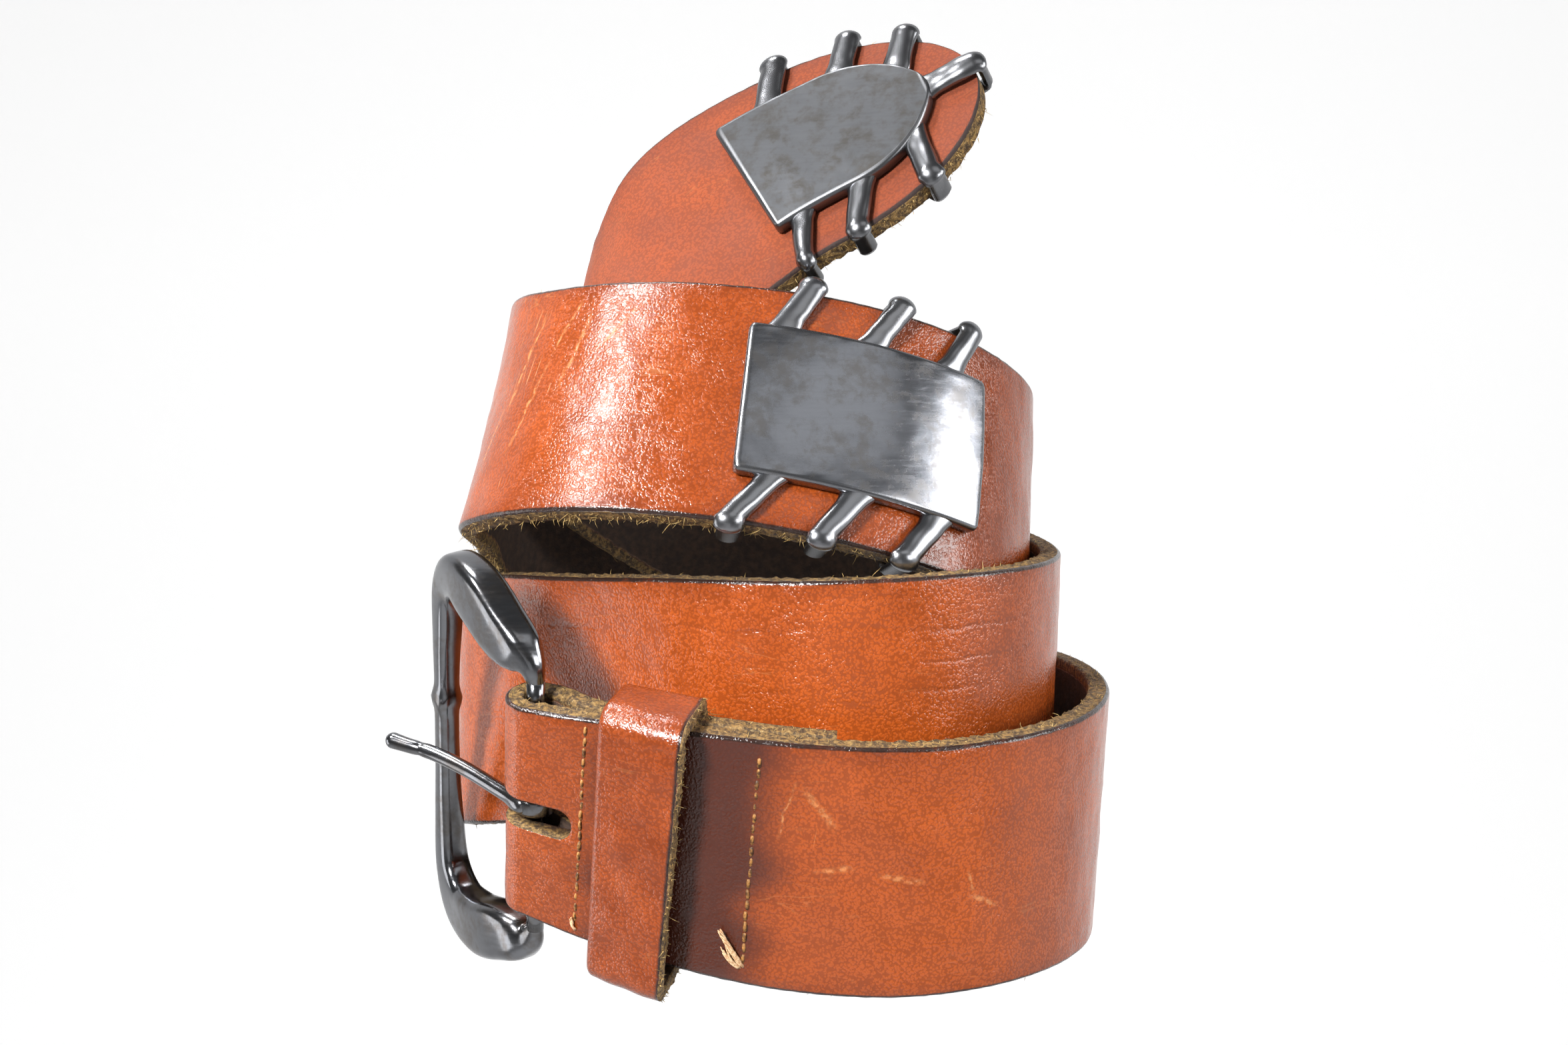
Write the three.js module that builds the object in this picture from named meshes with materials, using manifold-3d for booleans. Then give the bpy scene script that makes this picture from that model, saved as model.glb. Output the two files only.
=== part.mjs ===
// A leather belt, wound into a rising coil of three and a quarter turns.
//
// The strap is one strip of leather. Its buckle end is folded back round the bar of a cast
// buckle, and its other end is a rounded point. A loose leather keeper rides beside the fold.
// Two cast ornaments grip the strap with claws: a four-cornered one and a pointed one at the end.
//
// Units are millimetres, +Z is up, +X is to the right, and the front of the coil faces -Y.
// The origin is on the coil's axis, level with the lowest point of the strap.
//
// Everything on the strap is laid out on the flat strap first, as three distances:
//   s  along the strap, from the buckle's bar
//   w  across it, from its middle, positive towards the upper edge
//   h  out from the middle of its thickness, positive on the grain side
import * as THREE from 'three';
import Module from 'manifold-3d';

const wasm = await Module();
wasm.setup();

// Driving dimensions.
const STRAP_WIDTH = 35;
const STRAP_THICK = 3;
const TIP_LENGTH = 26; // the rounded point is half an ellipse of this length
const STRAP_STEP = 3; // distance between two cross-sections of the strap
const CLEARANCE = 0.3;

const BAR_RADIUS = 1.2;
const FOLD_END = 41; // where the folded-back layer stops
const FOLD_BULGE = 9; // over this length the two layers close up behind the bar
const FOLD_THICK = 2.5; // the leather is thinned where it goes round the bar
const FOLD_NARROWING = 3; // and the strap is so much narrower there
const NARROWING_LENGTH = 45; // distance from the bar to the strap's full width
const SLOT_WIDTH = 4.4;
const SLOT_REACH = 7.4; // from the bar to the round end of the prong's slot

const HOLE_DIAMETER = 4.4;
const HOLE_COUNT = 5;
const HOLE_PITCH = 24;
const FIRST_HOLE_FROM_TIP = 77;

const KEEPER = {
  start: 11, width: 11.2, thick: 1.9, innerHeight: 36.8, innerDepth: 6.9, flare: 2, corner: 1.35,
};

const FRAME = { reach: 25, lugHalfWidth: 22.3, swing: -33, bow: 1, drop: 1.2 };
const PRONG = {
  radius: 1.2, straight: 19, length: 26.8, swing: -22, eyeWidth: 2.6, eyeRadius: 3, tipLift: 1.2,
};

const PLATE_HALF = 11; // half of both ornaments' width across the strap
const PLATE_THICK = 2;
const PLATE_BEVEL = 0.6;
const WAIST_PLATE = { start: 540.3, length: 33 };
const TIP_PLATE = { fromTip: 35.2, straight: 14.2, ogive: 15 };
const CLAW = { halfWidth: 1.7, halfThick: 0.85, grip: 3.4 };

// The strap's centre line, a row for each place where its course changes.
// right, back and up are in millimetres. lean is the strap's tilt about its own length in
// degrees: with a positive lean the upper edge stands further out than the lower one.
const COURSE = [
  { right: -34.0, back: -34.8, up: 27.2, lean: 24 },
  { right: -26.0, back: -37.6, up: 25.4, lean: 22 },
  { right: -14.0, back: -40.6, up: 23.1, lean: 20 },
  { right: 2.0, back: -42.6, up: 20.7, lean: 18 },
  { right: 17.0, back: -41.5, up: 20.0, lean: 17 },
  { right: 32.5, back: -33.0, up: 21.4, lean: 13 },
  { right: 41.5, back: -17.5, up: 23.8, lean: 6 },
  { right: 42.9, back: 0.0, up: 26.4, lean: 2 },
  { right: 38.4, back: 16.8, up: 28.6, lean: 0 },
  { right: 29.6, back: 29.6, up: 30.2, lean: -1 },
  { right: 0.0, back: 39.4, up: 34.0, lean: -3 },
  { right: -29.8, back: 33.2, up: 37.4, lean: -3 },
  { right: -42.9, back: 19.2, up: 38.9, lean: -3 },
  { right: -45.8, back: 4.5, up: 39.0, lean: -1 },
  { right: -38.5, back: -10.5, up: 40.4, lean: 5 },
  { right: -28.0, back: -19.0, up: 40.6, lean: 10 },
  { right: -13.5, back: -29.4, up: 40.6, lean: 10 },
  { right: 3.0, back: -37.0, up: 40.3, lean: 9 },
  { right: 20.0, back: -36.4, up: 41.0, lean: 8 },
  { right: 33.2, back: -22.5, up: 42.4, lean: 5 },
  { right: 36.6, back: 0.0, up: 44.6, lean: 1.5 },
  { right: 26.0, back: 26.0, up: 48.6, lean: 2 },
  { right: 0.0, back: 34.0, up: 54.5, lean: -3 },
  { right: -24.6, back: 26.0, up: 63.6, lean: -4 },
  { right: -36.2, back: 14.6, up: 71.2, lean: -5 },
  { right: -40.3, back: 0.0, up: 78.0, lean: -7 },
  { right: -38.0, back: -16.0, up: 80.3, lean: -20 },
  { right: -28.0, back: -28.0, up: 81.4, lean: -27 },
  { right: 0.0, back: -33.0, up: 79.6, lean: -23 },
  { right: 24.0, back: -24.0, up: 73.2, lean: -13 },
  { right: 33.6, back: 0.0, up: 65.2, lean: 3 },
  { right: 22.5, back: 22.0, up: 62.5, lean: -1 },
  { right: 0.0, back: 27.5, up: 66.5, lean: -8 },
  { right: -19.2, back: 19.6, up: 76.5, lean: -11 },
  { right: -30.2, back: 1.0, up: 89.6, lean: -22 },
  { right: -25.8, back: -5.6, up: 94.6, lean: -31 },
  { right: -17.2, back: -10.0, up: 101.2, lean: -34 },
  { right: -5.0, back: -11.2, up: 110.6, lean: -35 },
  { right: 10.0, back: -12.6, up: 118.5, lean: -36 },
  { right: 26.8, back: -14.7, up: 127.0, lean: -37 },
];

// Natural cubic spline through the values at the knots: its second derivatives solve a
// tridiagonal system, by forward elimination and back substitution.
function naturalSpline(knots, values) {
  const last = knots.length - 1;
  const bend = new Array(last + 1).fill(0);
  const upper = new Array(last + 1).fill(0);
  for (let i = 1; i < last; i++) {
    const before = knots[i] - knots[i - 1];
    const after = knots[i + 1] - knots[i];
    const slopeChange = (values[i + 1] - values[i]) / after - (values[i] - values[i - 1]) / before;
    const pivot = 2 * (before + after) - before * upper[i - 1];
    upper[i] = after / pivot;
    bend[i] = (6 * slopeChange - before * bend[i - 1]) / pivot;
  }
  for (let i = last - 1; i > 0; i--) bend[i] -= upper[i] * bend[i + 1];
  return (x) => {
    let i = 0;
    while (i < last - 1 && x > knots[i + 1]) i++;
    const gap = knots[i + 1] - knots[i];
    const a = (knots[i + 1] - x) / gap;
    const b = 1 - a;
    const curve = ((a ** 3 - a) * bend[i] + (b ** 3 - b) * bend[i + 1]) * gap * gap / 6;
    return a * values[i] + b * values[i + 1] + curve;
  };
}

// The centre line, sampled finely and measured along its length.
function measureCourse(rows) {
  const knots = [0];
  for (let i = 1; i < rows.length; i++) {
    const [from, to] = [rows[i - 1], rows[i]];
    const chord = Math.hypot(to.right - from.right, to.back - from.back, to.up - from.up);
    knots.push(knots[i - 1] + chord);
  }
  const spline = {};
  for (const column of ['right', 'back', 'up', 'lean']) {
    spline[column] = naturalSpline(knots, rows.map((row) => row[column]));
  }
  const SAMPLES = 6000;
  const samples = [];
  let length = 0;
  for (let i = 0; i <= SAMPLES; i++) {
    const knot = knots.at(-1) * i / SAMPLES;
    const centre = new THREE.Vector3(spline.right(knot), spline.back(knot), spline.up(knot));
    if (i > 0) length += centre.distanceTo(samples[i - 1].centre);
    samples.push({ s: length, centre, lean: spline.lean(knot) });
  }
  return samples;
}

const course = measureCourse(COURSE);
const STRAP_LENGTH = course.at(-1).s;

function courseAt(s) {
  let low = 0;
  let high = course.length - 1;
  while (high - low > 1) {
    const middle = (low + high) >> 1;
    if (course[middle].s > s) high = middle;
    else low = middle;
  }
  const share = (s - course[low].s) / (course[high].s - course[low].s);
  return {
    centre: course[low].centre.clone().lerp(course[high].centre, share),
    lean: THREE.MathUtils.lerp(course[low].lean, course[high].lean, share),
  };
}

// The strap's own axes at a distance s: along it, across it and out of its grain side.
function axesAt(s) {
  const REACH = 0.6;
  const from = courseAt(Math.max(s - REACH, 0)).centre;
  const to = courseAt(Math.min(s + REACH, STRAP_LENGTH)).centre;
  const along = to.sub(from).normalize();
  const level = new THREE.Vector3().crossVectors(along, new THREE.Vector3(0, 0, 1)).normalize();
  const upright = new THREE.Vector3().crossVectors(level, along);
  const { centre, lean } = courseAt(s);
  const angle = THREE.MathUtils.degToRad(lean);
  const across = upright.clone().multiplyScalar(Math.cos(angle)).addScaledVector(level, Math.sin(angle));
  const out = level.clone().multiplyScalar(Math.cos(angle)).addScaledVector(upright, -Math.sin(angle));
  return { centre, along, across, out };
}

// The point at s, w, h of the laid-out strap, moved to where the wound strap has it.
function onStrap(s, w, h) {
  const axes = axesAt(THREE.MathUtils.clamp(s, 0, STRAP_LENGTH));
  const past = s - THREE.MathUtils.clamp(s, 0, STRAP_LENGTH);
  return axes.centre
    .addScaledVector(axes.along, past)
    .addScaledVector(axes.across, w)
    .addScaledVector(axes.out, h);
}

// A closed body through a row of rings, each a list of the same number of points. A looped
// body joins its last ring to its first, and any other has flat ends.
function loft(rings, looped = false) {
  const sides = rings[0].length;
  const index = [];
  const spans = looped ? rings.length : rings.length - 1;
  for (let i = 0; i < spans; i++) {
    for (let k = 0; k < sides; k++) {
      const next = (k + 1) % sides;
      const here = i * sides;
      const there = ((i + 1) % rings.length) * sides;
      index.push(here + k, there + k, there + next, here + k, there + next, here + next);
    }
  }
  if (!looped) {
    const end = (rings.length - 1) * sides;
    for (let k = 1; k < sides - 1; k++) {
      index.push(0, k, k + 1);
      index.push(end, end + k + 1, end + k);
    }
  }
  return turnedOutwards(rings.flat().flatMap((point) => point.toArray()), index);
}

// Six times the volume of the body is the sum over its triangles of a . (b x c). Where that
// is negative, the faces point inwards, and each triangle is turned over.
function turnedOutwards(positions, index) {
  const corner = (i) => new THREE.Vector3().fromArray(positions, index[i] * 3);
  let volume = 0;
  for (let i = 0; i < index.length; i += 3) {
    volume += corner(i).dot(corner(i + 1).cross(corner(i + 2)));
  }
  if (volume < 0) {
    for (let i = 0; i < index.length; i += 3) [index[i + 1], index[i + 2]] = [index[i + 2], index[i + 1]];
  }
  const geometry = new THREE.BufferGeometry();
  geometry.setAttribute('position', new THREE.Float32BufferAttribute(positions, 3));
  geometry.setIndex(index);
  return geometry;
}

function toSolid(geometry) {
  const vertProperties = new Float32Array(geometry.attributes.position.array);
  const triVerts = new Uint32Array(geometry.index.array);
  return new wasm.Manifold(new wasm.Mesh({ numProp: 3, vertProperties, triVerts }));
}

function toGeometry(solid) {
  const mesh = solid.getMesh();
  const geometry = new THREE.BufferGeometry();
  geometry.setAttribute('position', new THREE.Float32BufferAttribute(mesh.vertProperties, 3));
  geometry.setIndex(Array.from(mesh.triVerts));
  return geometry;
}

const joined = (parts) => parts.map(toSolid).reduce((whole, part) => whole.add(part));
const cut = (solid, tools) => tools.map(toSolid).reduce((rest, tool) => rest.subtract(tool), solid);

// A round bar with an even number of flat sides between two points.
function rod(from, to, radius, sides = 16) {
  const axis = to.clone().sub(from).normalize();
  const one = new THREE.Vector3(0, 0, 1);
  if (Math.abs(axis.z) > 0.7) one.set(1, 0, 0);
  const first = one.cross(axis).normalize();
  const second = axis.clone().cross(first);
  const ring = (centre) => Array.from({ length: sides }, (_, k) => {
    const angle = 2 * Math.PI * k / sides;
    return centre.clone()
      .addScaledVector(first, radius * Math.cos(angle))
      .addScaledVector(second, radius * Math.sin(angle));
  });
  return loft([ring(from), ring(to)]);
}

// Leather strap.

const HALF_WIDTH = STRAP_WIDTH / 2;
const HALF_THICK = STRAP_THICK / 2;
const LAYER_STEP = STRAP_THICK + CLEARANCE;
const LOOP_RADIUS = BAR_RADIUS + CLEARANCE + FOLD_THICK / 2; // to the middle of the leather round the bar

// Half the strap's width and half its thickness at a distance s from the bar, in either layer.
function halvesAt(s) {
  const narrow = Math.max(0, 1 - s / NARROWING_LENGTH);
  const thin = Math.max(0, 1 - s / FOLD_BULGE);
  return {
    half: HALF_WIDTH - FOLD_NARROWING / 2 * narrow ** 2,
    thick: HALF_THICK - (STRAP_THICK - FOLD_THICK) / 2 * thin,
  };
}

// Depth of the folded-back layer under the front one: it stays wide beside the bar and then
// closes up along half a cosine wave.
function layerDepth(s) {
  if (s >= FOLD_BULGE) return LAYER_STEP;
  const run = Math.max(0, s - BAR_RADIUS) / (FOLD_BULGE - BAR_RADIUS);
  const closing = (1 + Math.cos(Math.PI * run)) / 2;
  return LAYER_STEP + (2 * LOOP_RADIUS - LAYER_STEP) * closing;
}

// The middle of the strip from the folded-back end, round the bar and on to the tip, with the
// half width and half thickness that it has there.
function stripStations() {
  const stations = [];
  const straight = STRAP_LENGTH - TIP_LENGTH;
  const frontSteps = Math.round(straight / STRAP_STEP);
  const rearSteps = Math.round(FOLD_END / STRAP_STEP);
  for (let i = rearSteps; i > 0; i--) {
    const s = straight * i / frontSteps;
    stations.push({ point: onStrap(s, 0, -layerDepth(s)), across: axesAt(s).across, ...halvesAt(s) });
  }
  const LOOP_STEPS = 12;
  const bar = axesAt(0);
  for (let i = 0; i < LOOP_STEPS; i++) {
    const angle = Math.PI * i / LOOP_STEPS;
    const point = onStrap(0, 0, -LOOP_RADIUS)
      .addScaledVector(bar.out, -LOOP_RADIUS * Math.cos(angle))
      .addScaledVector(bar.along, -LOOP_RADIUS * Math.sin(angle));
    stations.push({ point, across: bar.across, ...halvesAt(0) });
  }
  for (let i = 0; i < frontSteps; i++) {
    const s = straight * i / frontSteps;
    stations.push({ point: onStrap(s, 0, 0), across: axesAt(s).across, ...halvesAt(s) });
  }
  const TIP_STEPS = 12;
  for (let i = 0; i < TIP_STEPS; i++) {
    const angle = Math.PI / 2 * i / (TIP_STEPS - 0.5);
    const s = straight + TIP_LENGTH * Math.sin(angle);
    const half = HALF_WIDTH * Math.cos(angle);
    stations.push({ point: onStrap(s, 0, 0), across: axesAt(s).across, half, thick: HALF_THICK });
  }
  return stations;
}

function strapStrip() {
  const stations = stripStations();
  const rings = stations.map(({ point, across, half, thick }, i) => {
    const before = stations[Math.max(i - 1, 0)].point;
    const after = stations[Math.min(i + 1, stations.length - 1)].point;
    const out = after.clone().sub(before).cross(across).normalize();
    const corner = (w, h) => point.clone().addScaledVector(across, w).addScaledVector(out, h);
    return [
      corner(half, thick), corner(0, thick), corner(-half, thick),
      corner(-half, -thick), corner(0, -thick), corner(half, -thick),
    ];
  });
  return loft(rings);
}

// The prong's slot goes through both layers and opens at the fold.
function slotTool() {
  const { along, across, out } = axesAt(0);
  const radius = SLOT_WIDTH / 2;
  const outline = [[-2 * SLOT_REACH, -radius], [SLOT_REACH - radius, -radius]];
  const STEPS = 8;
  for (let i = 1; i < STEPS; i++) {
    const angle = Math.PI * (i / STEPS - 0.5);
    outline.push([SLOT_REACH - radius + radius * Math.cos(angle), radius * Math.sin(angle)]);
  }
  outline.push([SLOT_REACH - radius, radius], [-2 * SLOT_REACH, radius]);
  const depth = 2 * LOOP_RADIUS + STRAP_THICK;
  const ring = (h) => outline.map(([a, w]) => onStrap(0, w, h)
    .addScaledVector(along, a));
  return loft([ring(-depth - 1), ring(STRAP_THICK)]);
}

function holeTools() {
  return Array.from({ length: HOLE_COUNT }, (_, i) => {
    const s = STRAP_LENGTH - FIRST_HOLE_FROM_TIP - i * HOLE_PITCH;
    return rod(onStrap(s, 0, -STRAP_THICK), onStrap(s, 0, STRAP_THICK), HOLE_DIAMETER / 2, 12);
  });
}

const strapSolid = cut(toSolid(strapStrip()), [slotTool(), ...holeTools()]);

// Keeper: a loop of leather with rounded corners, hanging on the strap's upper edge.

function keeperLoop() {
  const { start, width, thick, innerHeight, innerDepth, flare, corner } = KEEPER;
  const top = halvesAt(start + width).half + CLEARANCE + thick / 2;
  const bottom = top - innerHeight - thick;
  const rear = -LAYER_STEP - HALF_THICK - CLEARANCE - thick / 2;
  const front = rear + innerDepth + thick;
  const CORNER_STEPS = 5;
  const corners = [
    { w: top - corner, h: front - corner, from: 0 },
    { w: top - corner, h: rear + corner, from: 90 },
    { w: bottom + corner, h: rear + corner, from: 180 },
    { w: bottom + corner, h: front - corner, from: 270 },
  ];
  // The front wall stands off the strap a little at the side away from the buckle.
  const hinge = rear + corner;
  const flared = (h, share) => h + flare * share * Math.max(0, (h - hinge) / (front - hinge));
  const rings = [];
  for (const { w, h, from } of corners) {
    for (let i = 0; i <= CORNER_STEPS; i++) {
      const angle = THREE.MathUtils.degToRad(from + 90 * i / CORNER_STEPS);
      const side = (share, depth) => onStrap(
        start + width * share, w + depth * Math.sin(angle), flared(h + depth * Math.cos(angle), share));
      const ring = [];
      const SPLIT = 4;
      for (let k = 0; k <= SPLIT; k++) ring.push(side(k / SPLIT, corner + thick / 2));
      for (let k = SPLIT; k >= 0; k--) ring.push(side(k / SPLIT, corner - thick / 2));
      rings.push(ring);
    }
  }
  return loft(rings, true);
}

// Buckle: everything on it is laid out on its own axes, with the bar's middle as their origin.
// out runs from the bar to the frame's outer side, up is along the bar, and face is square to
// both, on the side that shows when the belt is worn.

const bar = axesAt(0);
const BAR_CENTRE = onStrap(0, 0, -LOOP_RADIUS);

function buckleAxes(swingDegrees) {
  const swing = THREE.MathUtils.degToRad(swingDegrees);
  const out = bar.along.clone().multiplyScalar(-Math.cos(swing)).addScaledVector(bar.out, Math.sin(swing));
  const face = bar.out.clone().multiplyScalar(Math.cos(swing)).addScaledVector(bar.along, Math.sin(swing));
  return (a, b, c) => BAR_CENTRE.clone()
    .addScaledVector(out, a)
    .addScaledVector(bar.across, b)
    .addScaledVector(face, c);
}

// The frame's side from the bar to the middle of the outer side, a row for each section: out
// and up place its middle, broad is its width in the frame's plane and deep its thickness.
const FRAME_SECTIONS = [
  { out: 0, up: FRAME.lugHalfWidth - 4.6, broad: 2.2, deep: 2.2 },
  { out: 0.2, up: FRAME.lugHalfWidth - 2.2, broad: 2.6, deep: 2.6 },
  { out: 2.4, up: FRAME.lugHalfWidth, broad: 4.8, deep: 4.2 },
  { out: 7, up: FRAME.lugHalfWidth + 1.8, broad: 6.8, deep: 5.4 },
  { out: 13, up: FRAME.lugHalfWidth + 4.1, broad: 7.2, deep: 5.4 },
  { out: 19, up: FRAME.lugHalfWidth + 4, broad: 6.4, deep: 4.8 },
  { out: 23.2, up: FRAME.lugHalfWidth, broad: 4.6, deep: 4.2 },
  { out: 24.6, up: 14, broad: 3.6, deep: 3.6 },
  { out: FRAME.reach, up: 6, broad: 3.2, deep: 3.2 },
];

function frameSide() {
  const mirrored = FRAME_SECTIONS.toReversed().map((row) => ({ ...row, up: -row.up }));
  const rows = [...FRAME_SECTIONS, ...mirrored];
  const middle = new THREE.CatmullRomCurve3(rows.map((row) => new THREE.Vector3(row.out, row.up, 0)));
  const sizes = new THREE.CatmullRomCurve3(rows.map((row) => new THREE.Vector3(row.broad, row.deep, 0)));
  const STEPS = 56;
  const place = buckleAxes(FRAME.swing);
  const rings = [];
  for (let i = 0; i <= STEPS; i++) {
    const at = middle.getPoint(i / STEPS);
    const size = sizes.getPoint(i / STEPS);
    const forward = middle.getTangent(i / STEPS);
    const side = new THREE.Vector3(-forward.y, forward.x, 0);
    const half = FRAME.reach / 2;
    const bow = FRAME.bow * Math.max(0, 1 - ((at.x - half) / half) ** 2);
    rings.push(frameSection(size.x / 2, size.y / 2).map(([across, face]) => place(
      at.x + side.x * across, at.y + side.y * across - FRAME.drop, face + bow)));
  }
  return loft(rings);
}

// A section with a flat back and a crowned face, from its half width and half depth.
function frameSection(half, deep) {
  return [
    [-half * 0.8, -deep], [half * 0.8, -deep], [half, -deep * 0.6], [half, deep * 0.35],
    [half * 0.72, deep * 0.85], [0, deep], [-half * 0.72, deep * 0.85],
    [-half, deep * 0.35], [-half, -deep * 0.6],
  ];
}

function buckleFrame() {
  const place = buckleAxes(FRAME.swing);
  const end = FRAME.lugHalfWidth - 3;
  const [low, high] = [-end - FRAME.drop, end - FRAME.drop];
  return joined([frameSide(), rod(place(0, low, 0), place(0, high, 0), BAR_RADIUS)]);
}

// Prong: an eye round the bar and a round shank that starts at the eye's face side.
function buckleProng() {
  const place = buckleAxes(PRONG.swing);
  const shankFace = PRONG.eyeRadius - PRONG.radius + 0.2;
  const shank = new THREE.CatmullRomCurve3([
    new THREE.Vector3(-0.8, 0, shankFace),
    new THREE.Vector3(5, 0, shankFace),
    new THREE.Vector3(PRONG.straight * 0.55, 0, shankFace),
    new THREE.Vector3(PRONG.straight, 0, shankFace + 0.2),
    new THREE.Vector3(PRONG.length, 0, shankFace + PRONG.tipLift),
  ]);
  const STEPS = 20;
  const SIDES = 10;
  const rings = [];
  for (let i = 0; i <= STEPS; i++) {
    const at = shank.getPoint(i / STEPS);
    const forward = shank.getTangent(i / STEPS);
    const side = new THREE.Vector3(-forward.z, 0, forward.x);
    const toEnd = (1 - i / STEPS) * PRONG.length;
    const rounding = Math.sqrt(Math.max(0.12, 1 - Math.max(0, 1 - toEnd / PRONG.radius) ** 2));
    const radius = PRONG.radius * rounding;
    rings.push(Array.from({ length: SIDES }, (_, k) => {
      const angle = 2 * Math.PI * k / SIDES;
      const [b, c] = [radius * Math.cos(angle), radius * Math.sin(angle)];
      return place(at.x + side.x * c, b, at.z + side.z * c);
    }));
  }
  const half = PRONG.eyeWidth / 2;
  const eye = rod(place(0, -half, 0), place(0, half, 0), PRONG.eyeRadius);
  const bore = rod(place(0, -PRONG.eyeWidth, 0), place(0, PRONG.eyeWidth, 0), BAR_RADIUS + CLEARANCE);
  return toGeometry(cut(joined([eye, loft(rings)]), [bore]));
}

// Ornaments: a plate on the grain side with claws that go over the strap's edges.

const PLATE_BACK = HALF_THICK + CLEARANCE;

// The plate's bevelled section at s, from its half width there and how far it is inset.
function plateSection(s, half, inset) {
  const face = PLATE_BACK + PLATE_THICK;
  const side = Math.max(half - inset, 0.3);
  const rim = Math.max(side - PLATE_BEVEL, 0.15);
  const low = PLATE_BACK + inset * 0.3;
  const high = face - inset;
  return [
    [-side, low], [-side, high - PLATE_BEVEL], [-rim, high],
    [rim, high], [side, high - PLATE_BEVEL], [side, low],
  ].map(([w, h]) => onStrap(s, w, h));
}

// A claw runs over the grain side from its root to the strap's edge, round the edge and back
// on the flesh side. root and edge are places [s, w], and beyond is the direction square to
// the edge, also as [s, w].
function claw({ root, edge, beyond }) {
  const face = PLATE_BACK + CLAW.halfThick;
  const side = CLEARANCE + CLAW.halfThick;
  const path = [];
  const ROOT_STEPS = 3;
  for (let i = 0; i < ROOT_STEPS; i++) {
    const share = i / ROOT_STEPS;
    path.push({ s: root[0] + (edge[0] - root[0]) * share, w: root[1] + (edge[1] - root[1]) * share, h: face, turn: 0 });
  }
  const bend = (far, h, turn) => path.push({
    s: edge[0] + beyond[0] * far, w: edge[1] + beyond[1] * far, h, turn,
  });
  const BEND_STEPS = 3;
  for (let i = 0; i <= BEND_STEPS; i++) {
    const turn = Math.PI / 2 * i / BEND_STEPS;
    bend(side * Math.sin(turn), HALF_THICK + side * Math.cos(turn), turn);
  }
  for (let i = 0; i <= BEND_STEPS; i++) {
    const turn = Math.PI / 2 * (1 + i / BEND_STEPS);
    bend(side * Math.sin(turn), -HALF_THICK + side * Math.cos(turn), turn);
  }
  bend(-CLAW.grip, -face, Math.PI);
  const SIDES = 8;
  const rings = path.map(({ s, w, h, turn }, i) => Array.from({ length: SIDES }, (_, k) => {
    const angle = 2 * Math.PI * (k + 0.5) / SIDES;
    const end = i === path.length - 1 ? 0.7 : 1;
    const wide = CLAW.halfWidth / Math.cos(Math.PI / SIDES) * Math.cos(angle) * end;
    const thick = CLAW.halfThick / Math.cos(Math.PI / SIDES) * Math.sin(angle) * end;
    const outwards = thick * Math.sin(turn);
    return onStrap(
      s - beyond[1] * wide + beyond[0] * outwards,
      w + beyond[0] * wide + beyond[1] * outwards,
      h + thick * Math.cos(turn));
  }));
  return loft(rings);
}

function waistPlate() {
  const { start, length } = WAIST_PLATE;
  const rings = [plateSection(start, PLATE_HALF, PLATE_BEVEL)];
  const STEPS = 12;
  for (let i = 0; i <= STEPS; i++) {
    rings.push(plateSection(start + PLATE_BEVEL + (length - 2 * PLATE_BEVEL) * i / STEPS, PLATE_HALF, 0));
  }
  rings.push(plateSection(start + length, PLATE_HALF, PLATE_BEVEL));
  const root = PLATE_HALF - 2;
  // Distances of the roots and the edge crossings from the plate's buckle-side end.
  const upper = [{ root: 3.4, edge: 7.6 }, { root: 14.8, edge: 19.6 }, { root: 26.2, edge: 30.8 }];
  const lower = [{ root: 6.4, edge: 0.4 }, { root: 17.6, edge: 12.4 }, { root: 28.6, edge: 23.4 }];
  const claws = [
    ...upper.map((row) => claw({
      root: [start + row.root, root], edge: [start + row.edge, HALF_WIDTH], beyond: [0, 1],
    })),
    ...lower.map((row) => claw({
      root: [start + row.root, -root], edge: [start + row.edge, -HALF_WIDTH], beyond: [0, -1],
    })),
  ];
  return joined([loft(rings), ...claws]);
}

// The pointed plate is straight at first and then narrows along two arcs of one radius.
function tipPlate() {
  const end = STRAP_LENGTH;
  const start = end - TIP_PLATE.fromTip;
  const radius = (PLATE_HALF ** 2 + TIP_PLATE.ogive ** 2) / (2 * PLATE_HALF);
  const halfAt = (run) => {
    const past = Math.max(0, run - TIP_PLATE.straight);
    return Math.sqrt(radius ** 2 - past ** 2) - (radius - PLATE_HALF);
  };
  const length = TIP_PLATE.straight + TIP_PLATE.ogive;
  const rings = [plateSection(start, PLATE_HALF, PLATE_BEVEL)];
  const STEPS = 14;
  for (let i = 0; i <= STEPS; i++) {
    const run = PLATE_BEVEL + (length - 2 * PLATE_BEVEL) * i / STEPS;
    rings.push(plateSection(start + run, halfAt(run), 0));
  }
  rings.push(plateSection(start + length - PLATE_BEVEL / 2, halfAt(length - PLATE_BEVEL), PLATE_BEVEL));
  return joined([loft(rings), ...tipClaws(end)]);
}

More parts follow.
